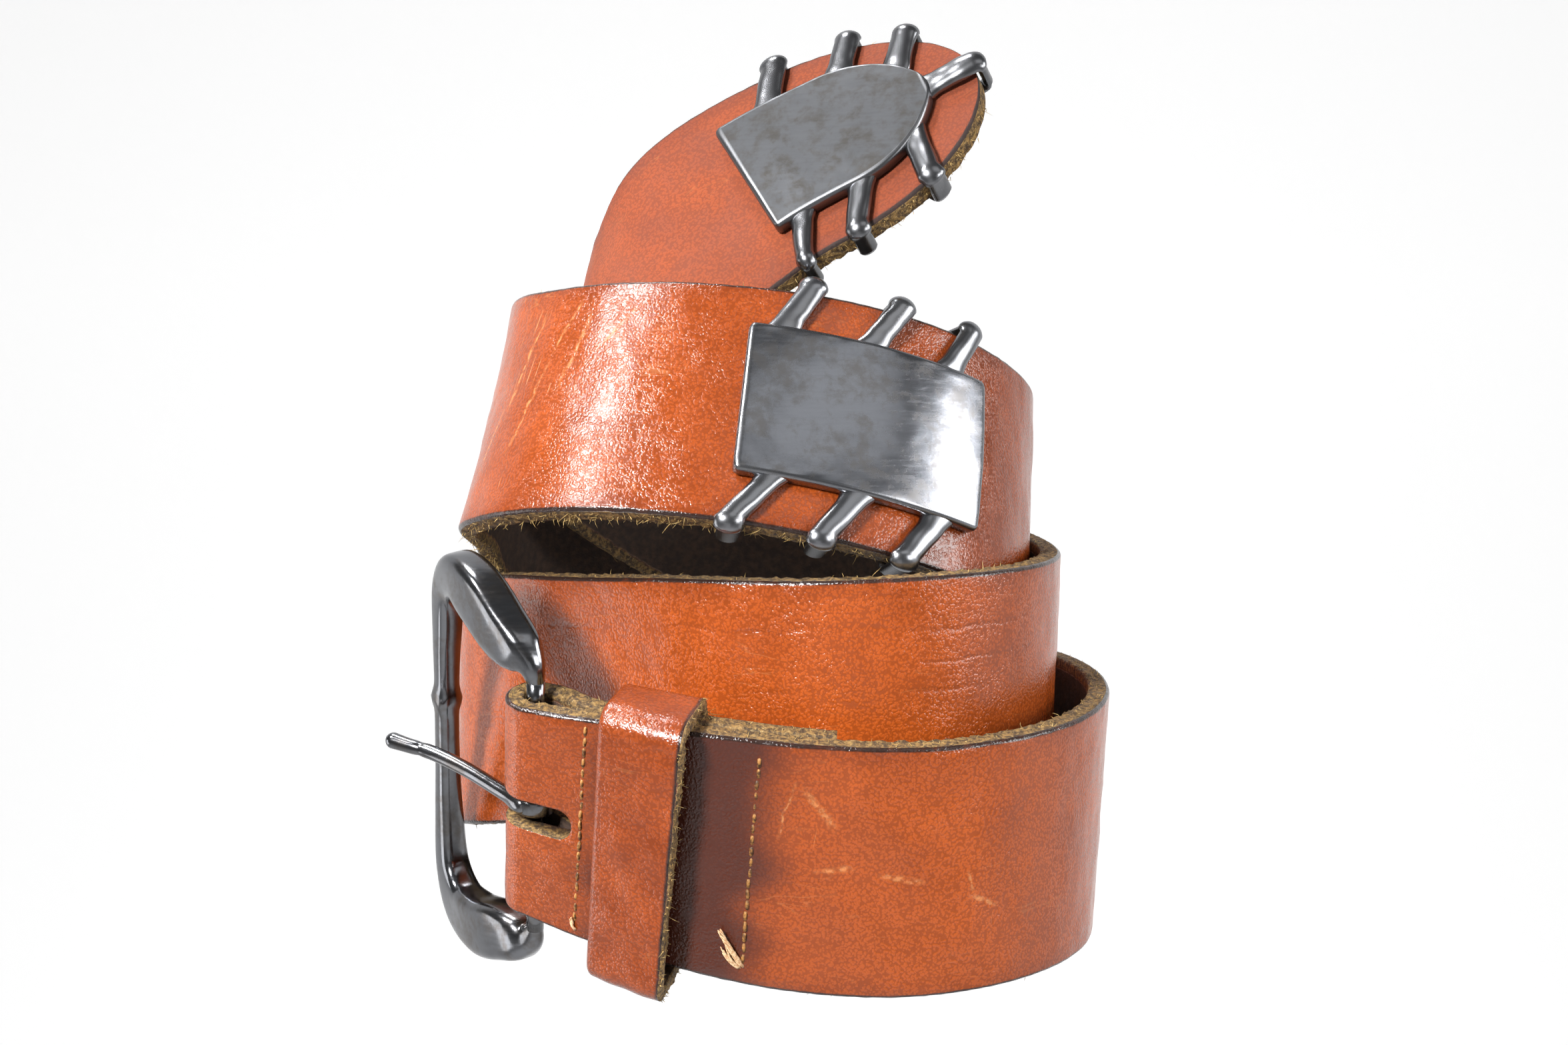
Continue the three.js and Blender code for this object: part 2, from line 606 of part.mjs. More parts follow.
// Claws of the pointed plate. root is the claw's root and turn the angle, on the ellipse of
// the strap's end, of the place where it crosses the edge: 0 at the widest place and 90 at
// the point. A row with before instead crosses the straight edge, so far before the ellipse.
function tipClaws(end) {
  const rows = [
    { side: 1, rootFromTip: 28.8, root: 9, before: -1.0 },
    { side: 1, rootFromTip: 18.4, root: 8.5, turn: 27 },
    { side: 1, rootFromTip: 10.6, root: 4.6, turn: 49 },
    { side: -1, rootFromTip: 29.6, root: 9, before: 7.6 },
    { side: -1, rootFromTip: 19.6, root: 8.5, turn: 5 },
    { side: -1, rootFromTip: 11.4, root: 4.6, turn: 33 },
    { side: 1, rootFromTip: 9, root: 0, turn: 90 },
  ];
  return rows.map(({ side, rootFromTip, root, before, turn = 0 }) => {
    const angle = THREE.MathUtils.degToRad(turn);
    const along = before === undefined ? TIP_LENGTH * Math.sin(angle) : -before;
    const square = new THREE.Vector2(Math.sin(angle) / TIP_LENGTH, Math.cos(angle) / HALF_WIDTH).normalize();
    return claw({
      root: [end - rootFromTip, side * root],
      edge: [end - TIP_LENGTH + along, side * HALF_WIDTH * Math.cos(angle)],
      beyond: [square.x, side * square.y],
    });
  });
}

// Scene.

const leather = new THREE.MeshStandardMaterial({ color: 0xa8532a, roughness: 0.45, metalness: 0 });
const keeperLeather = new THREE.MeshStandardMaterial({ color: 0xa24e28, roughness: 0.4, metalness: 0 });
const gunmetal = new THREE.MeshStandardMaterial({ color: 0x55565a, roughness: 0.28, metalness: 0.95 });
const wornMetal = new THREE.MeshStandardMaterial({ color: 0x5d5a58, roughness: 0.34, metalness: 0.95 });

function piece(name, geometry, material) {
  const mesh = new THREE.Mesh(geometry, material);
  mesh.name = name;
  return mesh;
}

const belt = new THREE.Group();
belt.add(
  piece('strap', toGeometry(strapSolid), leather),
  piece('keeper_loop', keeperLoop(), keeperLeather),
  piece('buckle_frame', toGeometry(buckleFrame()), gunmetal),
  piece('buckle_prong', buckleProng(), gunmetal),
  piece('waist_plate', toGeometry(waistPlate()), wornMetal),
  piece('tip_plate', toGeometry(tipPlate()), wornMetal),
);

export default belt;
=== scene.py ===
# %% [markdown]
# # A leather belt, wound into a rising coil
# The belt is one long strip of waxed leather. One end is folded round the bar of a cast buckle
# and sewn down, a keeper sits on the fold between two rows of stitches, and the other end is a
# rounded point. Two cast ornaments grip the strip with claws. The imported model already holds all
# of these as plain solids, so this lesson loads it first and then dresses it, piece by piece.

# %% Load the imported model
import math
import bmesh
import bpy
import numpy as np
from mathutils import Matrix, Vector


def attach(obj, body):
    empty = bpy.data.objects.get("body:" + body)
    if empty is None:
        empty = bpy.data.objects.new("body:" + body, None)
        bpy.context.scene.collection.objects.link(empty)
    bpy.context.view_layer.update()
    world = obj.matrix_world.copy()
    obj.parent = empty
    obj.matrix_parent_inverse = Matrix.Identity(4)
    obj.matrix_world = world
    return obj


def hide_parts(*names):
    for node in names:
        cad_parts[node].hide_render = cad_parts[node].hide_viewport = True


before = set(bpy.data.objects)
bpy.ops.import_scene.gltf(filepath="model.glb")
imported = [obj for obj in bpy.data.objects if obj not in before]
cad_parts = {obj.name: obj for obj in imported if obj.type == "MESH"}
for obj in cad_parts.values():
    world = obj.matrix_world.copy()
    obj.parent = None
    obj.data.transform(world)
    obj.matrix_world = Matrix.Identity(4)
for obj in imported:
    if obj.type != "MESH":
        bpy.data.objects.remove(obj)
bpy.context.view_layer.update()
MM = 0.001

# %% [markdown]
# ## The camera
# The belt is seen level from the front, from rather near, so perspective matters more than
# anything else for its outline. Blender wants a lens in millimetres for a film 36 mm wide. We
# know the focal length in picture points instead, so the lens follows from the picture's width.

# %% The camera
IMAGE_WIDTH = 2352
FOCAL_POINTS = 4300
SENSOR_MM = 36
CAMERA_DISTANCE, CAMERA_HEIGHT = 412, 65  # millimetres in front of the coil's axis and above z = 0
lens = bpy.data.cameras.new("camera")
lens.sensor_width = SENSOR_MM
lens.lens = SENSOR_MM * FOCAL_POINTS / IMAGE_WIDTH
lens.clip_start = 0.01
camera = bpy.data.objects.new("camera", lens)
camera.location = (0, -CAMERA_DISTANCE * MM, CAMERA_HEIGHT * MM)
camera.rotation_euler = (math.radians(90), 0, 0)
bpy.context.scene.collection.objects.link(camera)
bpy.context.scene.camera = camera
print("lens", round(lens.lens, 1), "mm")

# %% [markdown]
# ## The course of the strip
# A belt is flat leather, so everything on it is easiest to place on the flat strip: a distance
# s along it from the buckle's bar, w across it, and h out of its grain side. We only need one
# rule that takes s, w and h to the wound strip. A natural cubic spline through a short table
# of places gives the centre line, and the strip leans about that line by an angle of its own.

# %% The table of the strip's course
COURSE = np.array([  # right, back and up in millimetres, and the lean in degrees
    (-34.0, -34.8, 27.2, 24), (-26.0, -37.6, 25.4, 22), (-14.0, -40.6, 23.1, 20), (2.0, -42.6, 20.7, 18),
    (17.0, -41.5, 20.0, 17), (32.5, -33.0, 21.4, 13), (41.5, -17.5, 23.8, 6), (42.9, 0.0, 26.4, 2),
    (38.4, 16.8, 28.6, 0), (29.6, 29.6, 30.2, -1), (0.0, 39.4, 34.0, -3), (-29.8, 33.2, 37.4, -3),
    (-42.9, 19.2, 38.9, -3), (-45.8, 4.5, 39.0, -1), (-38.5, -10.5, 40.4, 5), (-28.0, -19.0, 40.6, 10),
    (-13.5, -29.4, 40.6, 10), (3.0, -37.0, 40.3, 9), (20.0, -36.4, 41.0, 8), (33.2, -22.5, 42.4, 5),
    (36.6, 0.0, 44.6, 1.5), (26.0, 26.0, 48.6, 2), (0.0, 34.0, 54.5, -3), (-24.6, 26.0, 63.6, -4),
    (-36.2, 14.6, 71.2, -5), (-40.3, 0.0, 78.0, -7), (-38.0, -16.0, 80.3, -20), (-28.0, -28.0, 81.4, -27),
    (0.0, -33.0, 79.6, -23), (24.0, -24.0, 73.2, -13), (33.6, 0.0, 65.2, 3), (22.5, 22.0, 62.5, -1),
    (0.0, 27.5, 66.5, -8), (-19.2, 19.6, 76.5, -11), (-30.2, 1.0, 89.6, -22), (-25.8, -5.6, 94.6, -31),
    (-17.2, -10.0, 101.2, -34), (-5.0, -11.2, 110.6, -35), (10.0, -12.6, 118.5, -36),
    (26.8, -14.7, 127.0, -37)])
print(len(COURSE), "places on the course")

# %% A natural cubic spline


def natural_spline(knots, values, at):
    """The spline's second derivatives solve (g0 + g1) 2 m1 + g0 m0 + g1 m2 = 6 times the change
    of slope at each inner knot, with none at the ends. g are the gaps between the knots."""
    gaps = np.diff(knots)
    count = len(knots)
    system = np.eye(count)
    right_side = np.zeros(values.shape)
    inner = np.arange(1, count - 1)
    system[inner, inner - 1] = gaps[:-1]
    system[inner, inner] = 2 * (gaps[:-1] + gaps[1:])
    system[inner, inner + 1] = gaps[1:]
    right_side[1:-1] = 6 * np.diff(np.diff(values, axis=0) / gaps[:, None], axis=0)
    bend = np.linalg.solve(system, right_side)
    k = np.clip(np.searchsorted(knots, at, side="right") - 1, 0, count - 2)
    gap = gaps[k][:, None]
    before = (knots[k + 1] - at)[:, None] / gap
    after = 1 - before
    curved = (before**3 - before) * bend[k] + (after**3 - after) * bend[k + 1]
    return before * values[k] + after * values[k + 1] + curved * gap**2 / 6


def run_lengths(points):
    """Distance along a line of points: 0 and the running sum of its steps."""
    return np.r_[0, np.cumsum(np.linalg.norm(np.diff(points, axis=0), axis=1))]


SAMPLE_COUNT = 6001
chords = run_lengths(COURSE[:, :3])
samples = natural_spline(chords, COURSE, np.linspace(0, chords[-1], SAMPLE_COUNT))
sample_s = run_lengths(samples[:, :3])
STRAP_LENGTH = sample_s[-1]
print("the strip is", round(STRAP_LENGTH, 1), "mm long")

# %% From the flat strip to the wound one
SLOPE_REACH = 0.6  # the centre line's slope is taken between two points this far to either side


def unit(vectors):
    """Each vector over its own length."""
    return vectors / np.linalg.norm(vectors, axis=-1, keepdims=True)


def centre_at(s):
    """The centre line's point at the distance s along it."""
    return np.stack([np.interp(s, sample_s, samples[:, i]) for i in range(3)], -1)


def axes_at(s):
    """The strip's axes at s: along the centre line, across = upright cos(lean) + level sin(lean),
    and out = level cos(lean) - upright sin(lean), where level = along x Z."""
    ahead = np.minimum(s + SLOPE_REACH, STRAP_LENGTH)
    along = unit(centre_at(ahead) - centre_at(np.maximum(s - SLOPE_REACH, 0)))
    level = unit(np.cross(along, (0.0, 0.0, 1.0)))
    upright = np.cross(level, along)
    lean = np.radians(np.interp(s, sample_s, samples[:, 3]))[..., None]
    across = upright * np.cos(lean) + level * np.sin(lean)
    out = level * np.cos(lean) - upright * np.sin(lean)
    return along, across, out


def on_strap(s, w, h):
    """The point s, w, h of the flat strip, in the wound one: centre + w across + h out."""
    s, w, h = np.broadcast_arrays(*(np.asarray(v, float) for v in (s, w, h)))
    inside = np.clip(s, 0, STRAP_LENGTH)
    along, across, out = axes_at(inside)
    past_end = along * (s - inside)[..., None]
    return centre_at(inside) + past_end + across * w[..., None] + out * h[..., None]


bar_along, bar_across, bar_out = axes_at(np.float64(0))
print("the bar runs along", bar_across.round(3))

# %% [markdown]
# ## Helpers for meshes
# Every new piece is a closed grid of points worked out with numpy: rings of points, one after
# the other, joined by four-sided faces. Numbers that the finishes need, such as how near a
# point is to a cut edge, go into the mesh as attributes, beside a map of the flat leather.

# %% A closed grid as a mesh


def grid_faces(rings, sides, looped):
    """Faces of a grid of rings x sides points. The sides close on themselves, and the rings
    too if looped, and otherwise the first and the last ring are capped by one face each."""
    ring = np.arange(rings if looped else rings - 1)[:, None]
    side = np.arange(sides)[None, :]
    here, there = ring * sides, (ring + 1) % rings * sides
    after = (side + 1) % sides
    quads = np.stack([here + side, there + side, there + after, here + after], -1)
    faces = quads.reshape(-1, 4).tolist()
    if not looped:
        faces += [list(range(sides)), list(range(rings * sides - 1, (rings - 1) * sides - 1, -1))]
    return faces


def new_piece(name, points, faces, material, body, slot, flat=None, marks=None):
    """A mesh object from points in millimetres. For each point, flat holds its place on the flat
    leather in decimetres, and each of the marks holds a number. Both are kept at the corners of
    the faces, where a Boolean cut carries them over."""
    mesh = bpy.data.meshes.new(name)
    mesh.from_pydata((np.asarray(points).reshape(-1, 3) * MM).tolist(), [], faces)
    corner = np.zeros(len(mesh.loops), np.int32)
    mesh.loops.foreach_get("vertex_index", corner)
    if flat is not None:
        layer = mesh.uv_layers.new(name="flat")
        layer.data.foreach_set("uv", np.asarray(flat, np.float32).reshape(-1, 2)[corner].ravel())
    for label, values in (marks or {}).items():
        layer = mesh.attributes.new(label, "FLOAT", "CORNER")
        layer.data.foreach_set("value", np.asarray(values, np.float32).ravel()[corner])
    work = bmesh.new()
    work.from_mesh(mesh)
    bmesh.ops.recalc_face_normals(work, faces=work.faces)
    work.to_mesh(mesh)
    work.free()
    mesh.polygons.foreach_set("use_smooth", np.ones(len(mesh.polygons), bool))
    mesh.materials.append(material)
    piece = bpy.data.objects.new(name, mesh)
    bpy.context.scene.collection.objects.link(piece)
    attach(piece, body)
    print(name, len(mesh.polygons), "faces")
    return piece


def ripple(x, y, size, seed, waves=9):
    """Smooth random hills about 1 high: the sum of sine waves of random directions and phases,
    with wavelengths round size, over the square root of their number."""
    random = np.random.default_rng(seed)
    angle, phase = random.uniform(0, 2 * np.pi, (2, waves))
    rate = 2 * np.pi / size * random.uniform(0.6, 1.7, waves)
    total = np.zeros(np.broadcast(x, y).shape)
    for a, p, r in zip(angle, phase, rate):
        total += np.sin(r * (np.cos(a) * x + np.sin(a) * y) + p)
    return total / math.sqrt(waves)

# %% [markdown]
# ## Helpers for finishes
# A finish is a tree of shader nodes. A flow is what runs along one of its links: a number, a
# colour or a place. We write sums on flows as usual, and each becomes a node. Effects that
# several finishes share, such as leather grain and tarnish, are node groups: they are built
# once and placed where needed.

# %% Flows and nodes


class Flow:
    """What comes out of a node. Adding, subtracting or multiplying it adds a Math node."""

    def __init__(self, socket):
        self.socket = socket

    def __add__(self, other):
        return reckon("ADD", self, other)

    def __sub__(self, other):
        return reckon("SUBTRACT", self, other)

    def __mul__(self, other):
        return reckon("MULTIPLY", self, other)


def fill(node, inputs):
    """Fills the node's inputs, named or numbered, with flows or with plain values."""
    for key, value in inputs.items():
        if isinstance(value, Flow):
            node.id_data.links.new(value.socket, node.inputs[key])
        else:
            node.inputs[key].default_value = value


def put(kind, inputs, tree=None, **settings):
    """Adds a node of that kind, with its settings, to the tree given or else to the one that its
    inputs come from. Returns its outputs as flows, by number and by name."""
    tree = tree or next(v.socket.id_data for v in inputs.values() if isinstance(v, Flow))
    node = tree.nodes.new(kind)
    for key, value in settings.items():
        setattr(node, key, value)
    fill(node, inputs)
    return {key: Flow(out) for k, out in enumerate(node.outputs) for key in (k, out.name)}


print("helpers for nodes:", [rule.__name__ for rule in (Flow, fill, put)])

# %% Sums on flows


def reckon(operation, *values):
    """One sum on numbers, such as ADD, MULTIPLY or ABSOLUTE."""
    return put("ShaderNodeMath", dict(enumerate(values)), operation=operation)[0]


def on_vectors(operation, first, second):
    """One sum on places, such as ADD, SUBTRACT or MULTIPLY."""
    return put("ShaderNodeVectorMath", {0: first, 1: second}, operation=operation)[0]


def levels(value, low, high, to_low=0.0, to_high=1.0):
    """Stretches low..high to to_low..to_high along a smooth step, and holds it outside."""
    inputs = {"Value": value, "From Min": low, "From Max": high, "To Min": to_low, "To Max": to_high}
    return put("ShaderNodeMapRange", inputs, interpolation_type="SMOOTHSTEP")[0]


def tint(share, first, second):
    """Goes from the first colour to the second by the share. A plain colour has three parts."""
    first, second = (v if isinstance(v, Flow) else (*v, 1) for v in (first, second))
    return put("ShaderNodeMix", {0: share, 6: first, 7: second}, data_type="RGBA")[2]


def blend(share, first, second):
    """Goes from the first number to the second by the share."""
    return put("ShaderNodeMix", {0: share, 2: first, 3: second})[0]


print("helpers for sums:", [rule.__name__ for rule in (reckon, on_vectors, levels, tint, blend)])

# %% Patterns and places


def noise(place, scale, detail=3.0, roughness=0.55, distortion=0.0):
    """Smooth noise of 0..1, with scale hills in a metre, or in a decimetre of the flat map."""
    inputs = {"Vector": place, "Scale": scale, "Detail": detail, "Roughness": roughness,
              "Distortion": distortion}
    return put("ShaderNodeTexNoise", inputs)[0]


def stretched(place, scale):
    """The place with each of its parts multiplied, so that a pattern on it is drawn out."""
    return put("ShaderNodeMapping", {"Vector": place, "Scale": scale})[0]


def parts_of(place):
    """The place's parts X, Y and Z."""
    return put("ShaderNodeSeparateXYZ", {0: place})


print("helpers for patterns:", [rule.__name__ for rule in (noise, stretched, parts_of)])

# %% Node groups


def new_group(name, inputs, outputs):
    """An empty node group. inputs gives each number's first value, or None for a place, and
    outputs each one's kind. Returns the group, the flows that enter it and its last node."""
    tree = bpy.data.node_groups.new(name, "ShaderNodeTree")
    for label, value in inputs.items():
        kind = "NodeSocketVector" if value is None else "NodeSocketFloat"
        socket = tree.interface.new_socket(label, in_out="INPUT", socket_type=kind)
        if value is not None:
            socket.default_value = value
    for label, kind in outputs.items():
        tree.interface.new_socket(label, in_out="OUTPUT", socket_type="NodeSocket" + kind)
    return tree, put("NodeGroupInput", {}, tree), tree.nodes.new("NodeGroupOutput")


def use(group, inputs):
    """Places a node group and returns its outputs by name."""
    return put("ShaderNodeGroup", inputs, node_tree=group)


print("node groups to begin with:", len(bpy.data.node_groups))

# %% Finishes


def new_finish(name):
    """An empty material: its tree, its main shader, the object's coordinates and the flat map."""
    material = bpy.data.materials.new(name)
    material.use_nodes = True
    tree = material.node_tree
    place = put("ShaderNodeTexCoord", {}, tree)["Object"]
    flat = put("ShaderNodeUVMap", {}, tree, uv_map="flat")[0]
    return material, tree, tree.nodes["Principled BSDF"], place, flat


def mark(tree, name):
    """The mesh's own number of that name."""
    return put("ShaderNodeAttribute", {}, tree, attribute_name=name)["Fac"]


def set_relief(shader, height, depth, strength):
    """Turns a height of 0..1 into a bump that is depth metres high."""
    bump = put("ShaderNodeBump", {"Height": height, "Distance": depth, "Strength": strength})[0]
    fill(shader, {"Normal": bump})


print("finishes to begin with:", len(bpy.data.materials))

# %% [markdown]
# ## What leather is made of
# Waxed leather has a grain of soft pebbles with creases between them, which we build from
# cells of a Voronoi pattern that a little noise pushes about. Hair-fine scratches are the
# places where a drawn-out noise crosses its middle value: such places form long thin lines.
# Long creases and the larger scuffs are lines with a place of their own on the flat strip.
# A cut edge is the inside of the hide, so it is pale, rough and fibrous.

# %% Node group: pebbled grain
STRAP_CELLS = 2500.0  # pebbles in a metre
PUSH = 0.7 * MM
grain_group, enters, leaves = new_group(
    "pebbled grain", {"Place": None, "Cells": STRAP_CELLS}, {"Height": "Float", "Mottle": "Float"})
shift = put("ShaderNodeTexNoise", {"Vector": enters["Place"], "Scale": 1200.0, "Detail": 2.0})["Color"]
shift = put("ShaderNodeVectorMath", {0: shift, "Scale": PUSH}, operation="SCALE")[0]
pushed = on_vectors("ADD", enters["Place"], shift)
cells = put("ShaderNodeTexVoronoi", {"Vector": pushed, "Scale": enters["Cells"]})
uneven = levels(noise(enters["Place"], 260.0, 4.0), 0.3, 0.7, 0.35, 1.0)
pebbles = levels(cells["Distance"], 0.75, 0.15) * uneven
blotches = levels(noise(enters["Place"], 120.0, 8.0, 0.72), 0.3, 0.7)
fill(leaves, {"Height": (pebbles + noise(pushed, 5200.0) * 0.5) * 0.67, "Mottle": blotches})
print("cells about", round(1 / STRAP_CELLS / MM, 2), "mm wide")

# %% Node group: scratches
scratch_group, enters, leaves = new_group(
    "scratches", {"Flat": None, "Across": 30.0, "Along": 4.0}, {"Lines": "Float"})
draw = put("ShaderNodeCombineXYZ", {"X": enters["Along"], "Y": enters["Across"], "Z": 1.0})[0]
wander = noise(on_vectors("MULTIPLY", enters["Flat"], draw), 1.0, 2.0, 0.45, 0.25)
lines = levels(reckon("ABSOLUTE", wander - 0.5), 0.011, 0.002)
broken = levels(noise(enters["Flat"], 9.0, 5.0), 0.51, 0.64)
fill(leaves, {"Lines": lines * broken})
print("scratches take", [item.name for item in scratch_group.interface.items_tree])

# %% Node group: a long crease
CREASE_FADE = 0.10  # decimetres over which a crease begins and ends
crease_group, enters, leaves = new_group(
    "long crease", {"Flat": None, "Height": 0.0, "From": 0.0, "To": 1.0, "Width": 0.004, "Wave": 0.03},
    {"Depth": "Float"})
flat_parts = parts_of(enters["Flat"])
swerve = (noise(stretched(enters["Flat"], (6.0, 0.0, 1.0)), 1.0, 4.0) - 0.5) * enters["Wave"]
off_line = flat_parts["Y"] - enters["Height"] - swerve
groove = levels(reckon("ABSOLUTE", off_line), enters["Width"], 0.0)
after_start = levels(flat_parts["X"] - enters["From"], 0.0, CREASE_FADE)
before_end = levels(enters["To"] - flat_parts["X"], 0.0, CREASE_FADE)
uneven_depth = levels(noise(enters["Flat"], 7.0, 4.0), 0.35, 0.62)
fill(leaves, {"Depth": groove * (after_start * before_end) * uneven_depth})
print("a crease fades over", CREASE_FADE * 100, "mm")

# %% Node group: a scuff
SCUFF_SWERVE = 0.015
scuff_group, enters, leaves = new_group(
    "scuff", {"Flat": None, "Middle": None, "Tilt": 0.0, "Reach": 0.03, "Width": 0.003}, {"Line": "Float"})
from_middle = on_vectors("SUBTRACT", enters["Flat"], enters["Middle"])
turned = put(
    "ShaderNodeVectorRotate", {"Vector": from_middle, "Angle": enters["Tilt"] * -1.0},
    rotation_type="Z_AXIS")
turned = parts_of(turned[0])
off_line = (noise(enters["Flat"], 30.0, 2.0) - 0.5) * SCUFF_SWERVE + turned["Y"]
inside = levels(reckon("ABSOLUTE", off_line), enters["Width"], 0.0)
past_middle = reckon("DIVIDE", reckon("ABSOLUTE", turned["X"]), enters["Reach"])
frayed = levels(noise(enters["Flat"], 110.0, 5.0), 0.38, 0.62, 0.1, 1.0)
fill(leaves, {"Line": inside * levels(past_middle, 1.0, 0.4) * frayed})
print("a scuff swerves by up to", SCUFF_SWERVE * 50, "mm")

# %% Node group: raw hide
HIDE_DARK, HIDE_BROWN, HIDE_PALE = (0.05, 0.026, 0.010), (0.33, 0.19, 0.055), (0.62, 0.43, 0.18)
raw_group, enters, leaves = new_group(
    "raw hide", {"Place": None, "Fibre": 2600.0}, {"Colour": "Color", "Height": "Float"})
fibre = noise(enters["Place"], enters["Fibre"], 6.0, 0.7, 0.4)
clump = noise(enters["Place"], 1500.0, 5.0, 0.65)
hide = tint(levels(clump, 0.40, 0.66), HIDE_DARK, HIDE_BROWN)
fill(leaves, {"Colour": tint(levels(fibre, 0.5, 0.8), hide, HIDE_PALE), "Height": fibre + clump * 0.6})
print("raw hide goes from", HIDE_DARK, "to", HIDE_PALE)

# %% [markdown]
# ## The finish of the strip
# The strip's marks say where its cut edges and its flesh side are, how near the grain side's rim
# is, how light the leather is there, where it is scratched or dull, and where it is darker beside
# the keeper: there the leather is darker and the keeper's shadow is painted on it too. Colour runs
# from a dark cognac to a warm honey, the rims are burnished almost black, the creases get painted
# shade, and the raw hide shows on the cuts.

# %% Colours of the leather and its scratch lines
# The first colour is the darker leather beside the keeper with the keeper's shadow painted in; then come the
# burnished rims and the scratch lines.
SHADOW_AND_STAIN, BURNISHED, SCRATCHED = (0.054, 0.014, 0.009), (0.026, 0.013, 0.010), (0.85, 0.38, 0.13)
SUEDE_DARK, SUEDE_LIGHT = (0.040, 0.020, 0.012), (0.085, 0.044, 0.024)
LEATHER_SHINE = 0.62
UPRIGHT_LINES, LEVEL_LINES = {"Across": 1.6, "Along": 55.0}, {"Across": 34.0, "Along": 5.0}


def shaded(colour, share):
    """A colour of that share of the light."""
    return tuple(share * v for v in colour)


def scratch_lines(flat, wear, smoke, scratched, scuffs):
    """Upright scratches where the leather is worn, faint level ones elsewhere, and the scuffs."""
    upright = use(scratch_group, {"Flat": flat, **UPRIGHT_LINES})["Lines"] * levels(wear, 0.5, 1.0)
    level = use(scratch_group, {"Flat": flat, **LEVEL_LINES})["Lines"] * levels(wear, 0.85, 0.4, 0.0, 0.16)
    lines = reckon("MAXIMUM", upright, level * levels(smoke, 0.5, 0.05)) * scratched
    for along, up, tilt, reach, width in scuffs:
        values = {"Middle": (along, up, 0.0), "Tilt": tilt, "Reach": reach, "Width": width}
        lines = reckon("MAXIMUM", lines, use(scuff_group, {"Flat": flat, **values})["Line"] * 0.62)
    return lines


print("upright scratches", UPRIGHT_LINES, "level ones", LEVEL_LINES)

# %% The waxed leather


def waxed_leather(name, dark, warm, gloss, scratched=1.0, cells=STRAP_CELLS, creases=(), scuffs=()):
    """Colour goes from dark to warm by the tone mark and some mottle. gloss is the roughness."""
    material, tree, shader, place, flat = new_finish(name)
    labels = ("tone", "rim", "wear", "smoke", "flesh", "cut", "dull")
    tone, rim, wear, smoke, flesh, cut, dull = (mark(tree, label) for label in labels)
    flesh, cut = levels(flesh, 0.4, 0.6), levels(cut, 0.35, 0.65)
    grain = use(grain_group, {"Place": place, "Cells": cells})
    raw = use(raw_group, {"Place": place})
    lines = scratch_lines(flat, wear, smoke, scratched, scuffs)
    folds = 0.0
    for height, start, end, width, wave in creases:
        values = {"Height": height, "From": start, "To": end, "Width": width, "Wave": wave}
        folds = reckon("MAXIMUM", use(crease_group, {"Flat": flat, **values})["Depth"], folds)
    smudge = levels(noise(place, 420.0), 0.3, 0.7, 0.75, 1.0)
    suede = tint(levels(noise(place, 900.0, 5.0), 0.35, 0.7), SUEDE_DARK, SUEDE_LIGHT)
    colour = tint(levels(tone + grain["Mottle"] * 0.13, 0.0, 1.22), dark, warm)
    # The patch beside the keeper is darker leather with the keeper's shadow painted over it.
    for share, over in (
            (levels(grain["Height"], 0.42, 0.2) * 0.38, shaded(dark, 0.45)), (smoke, SHADOW_AND_STAIN),
            # The creases are darkened with painted shade, beside their bump relief.
            (lines * 0.7, SCRATCHED), (folds * 0.16, shaded(dark, 0.5)),
            (levels(rim * smudge, 0.22, 0.8), BURNISHED), (flesh, suede), (cut, raw["Colour"])):
        colour = tint(share, colour, over)
    bare = reckon("MAXIMUM", cut, flesh)
    rough = levels(grain["Mottle"], 0.0, 1.0, gloss - 0.03, gloss + 0.04)
    rough = rough + dull * 0.68 + lines * 0.25 + bare * 0.5
    relief = blend(bare, grain["Height"] - lines * 0.35 - folds * 0.9, raw["Height"] * 2.6)
    set_relief(shader, relief, 0.08 * MM, 0.9)
    fill(shader, {"Base Color": colour, "Roughness": reckon("MINIMUM", rough, 0.95),
                  "Specular IOR Level": LEATHER_SHINE})
    return material


# %% The strip's own leather
CREASES = (  # height on the flat strip, from, to, width and wave, in decimetres
    (0.108, 2.52, 3.42, 0.006, 0.05), (0.028, 2.66, 3.30, 0.006, 0.04), (0.066, 2.95, 3.45, 0.004, 0.05),
    (-0.128, 6.92, 7.42, 0.006, 0.06), (-0.152, 7.0, 7.5, 0.005, 0.05))
SCUFF_LINES = (  # middle along and up the flat strip, tilt in radians, half length, width, in decimetres
    (0.395, 0.087, -0.86, 0.042, 0.008), (0.352, 0.082, 1.35, 0.048, 0.003),
    (0.507, -0.005, -0.15, 0.035, 0.006), (0.420, 0.005, 0.10, 0.030, 0.006),
    (0.620, -0.045, -0.40, 0.030, 0.006), (0.600, -0.020, -1.20, 0.025, 0.004),
    (5.060, 0.060, 1.45, 0.090, 0.005), (5.100, -0.010, 1.38, 0.080, 0.004),
    (5.160, 0.070, 1.36, 0.070, 0.005), (5.220, 0.100, 0.90, 0.050, 0.004),
    (5.030, -0.050, 1.42, 0.060, 0.004), (5.130, 0.110, 1.20, 0.050, 0.004))
strap_leather = waxed_leather(
    "waxed strap leather", (0.16, 0.027, 0.006), (0.58, 0.112, 0.014), 0.19, creases=CREASES,
    scuffs=SCUFF_LINES)
print("finish", strap_leather.name)

# %% [markdown]
# ## The strip
# The strip is one closed grid. Its section is a flat bar with a soft corner on the grain side
# and a crisper one on the flesh side. The rings of points start at the folded-back end, go round
# the buckle's bar and follow the course to the tip, where the section narrows as an ellipse does.

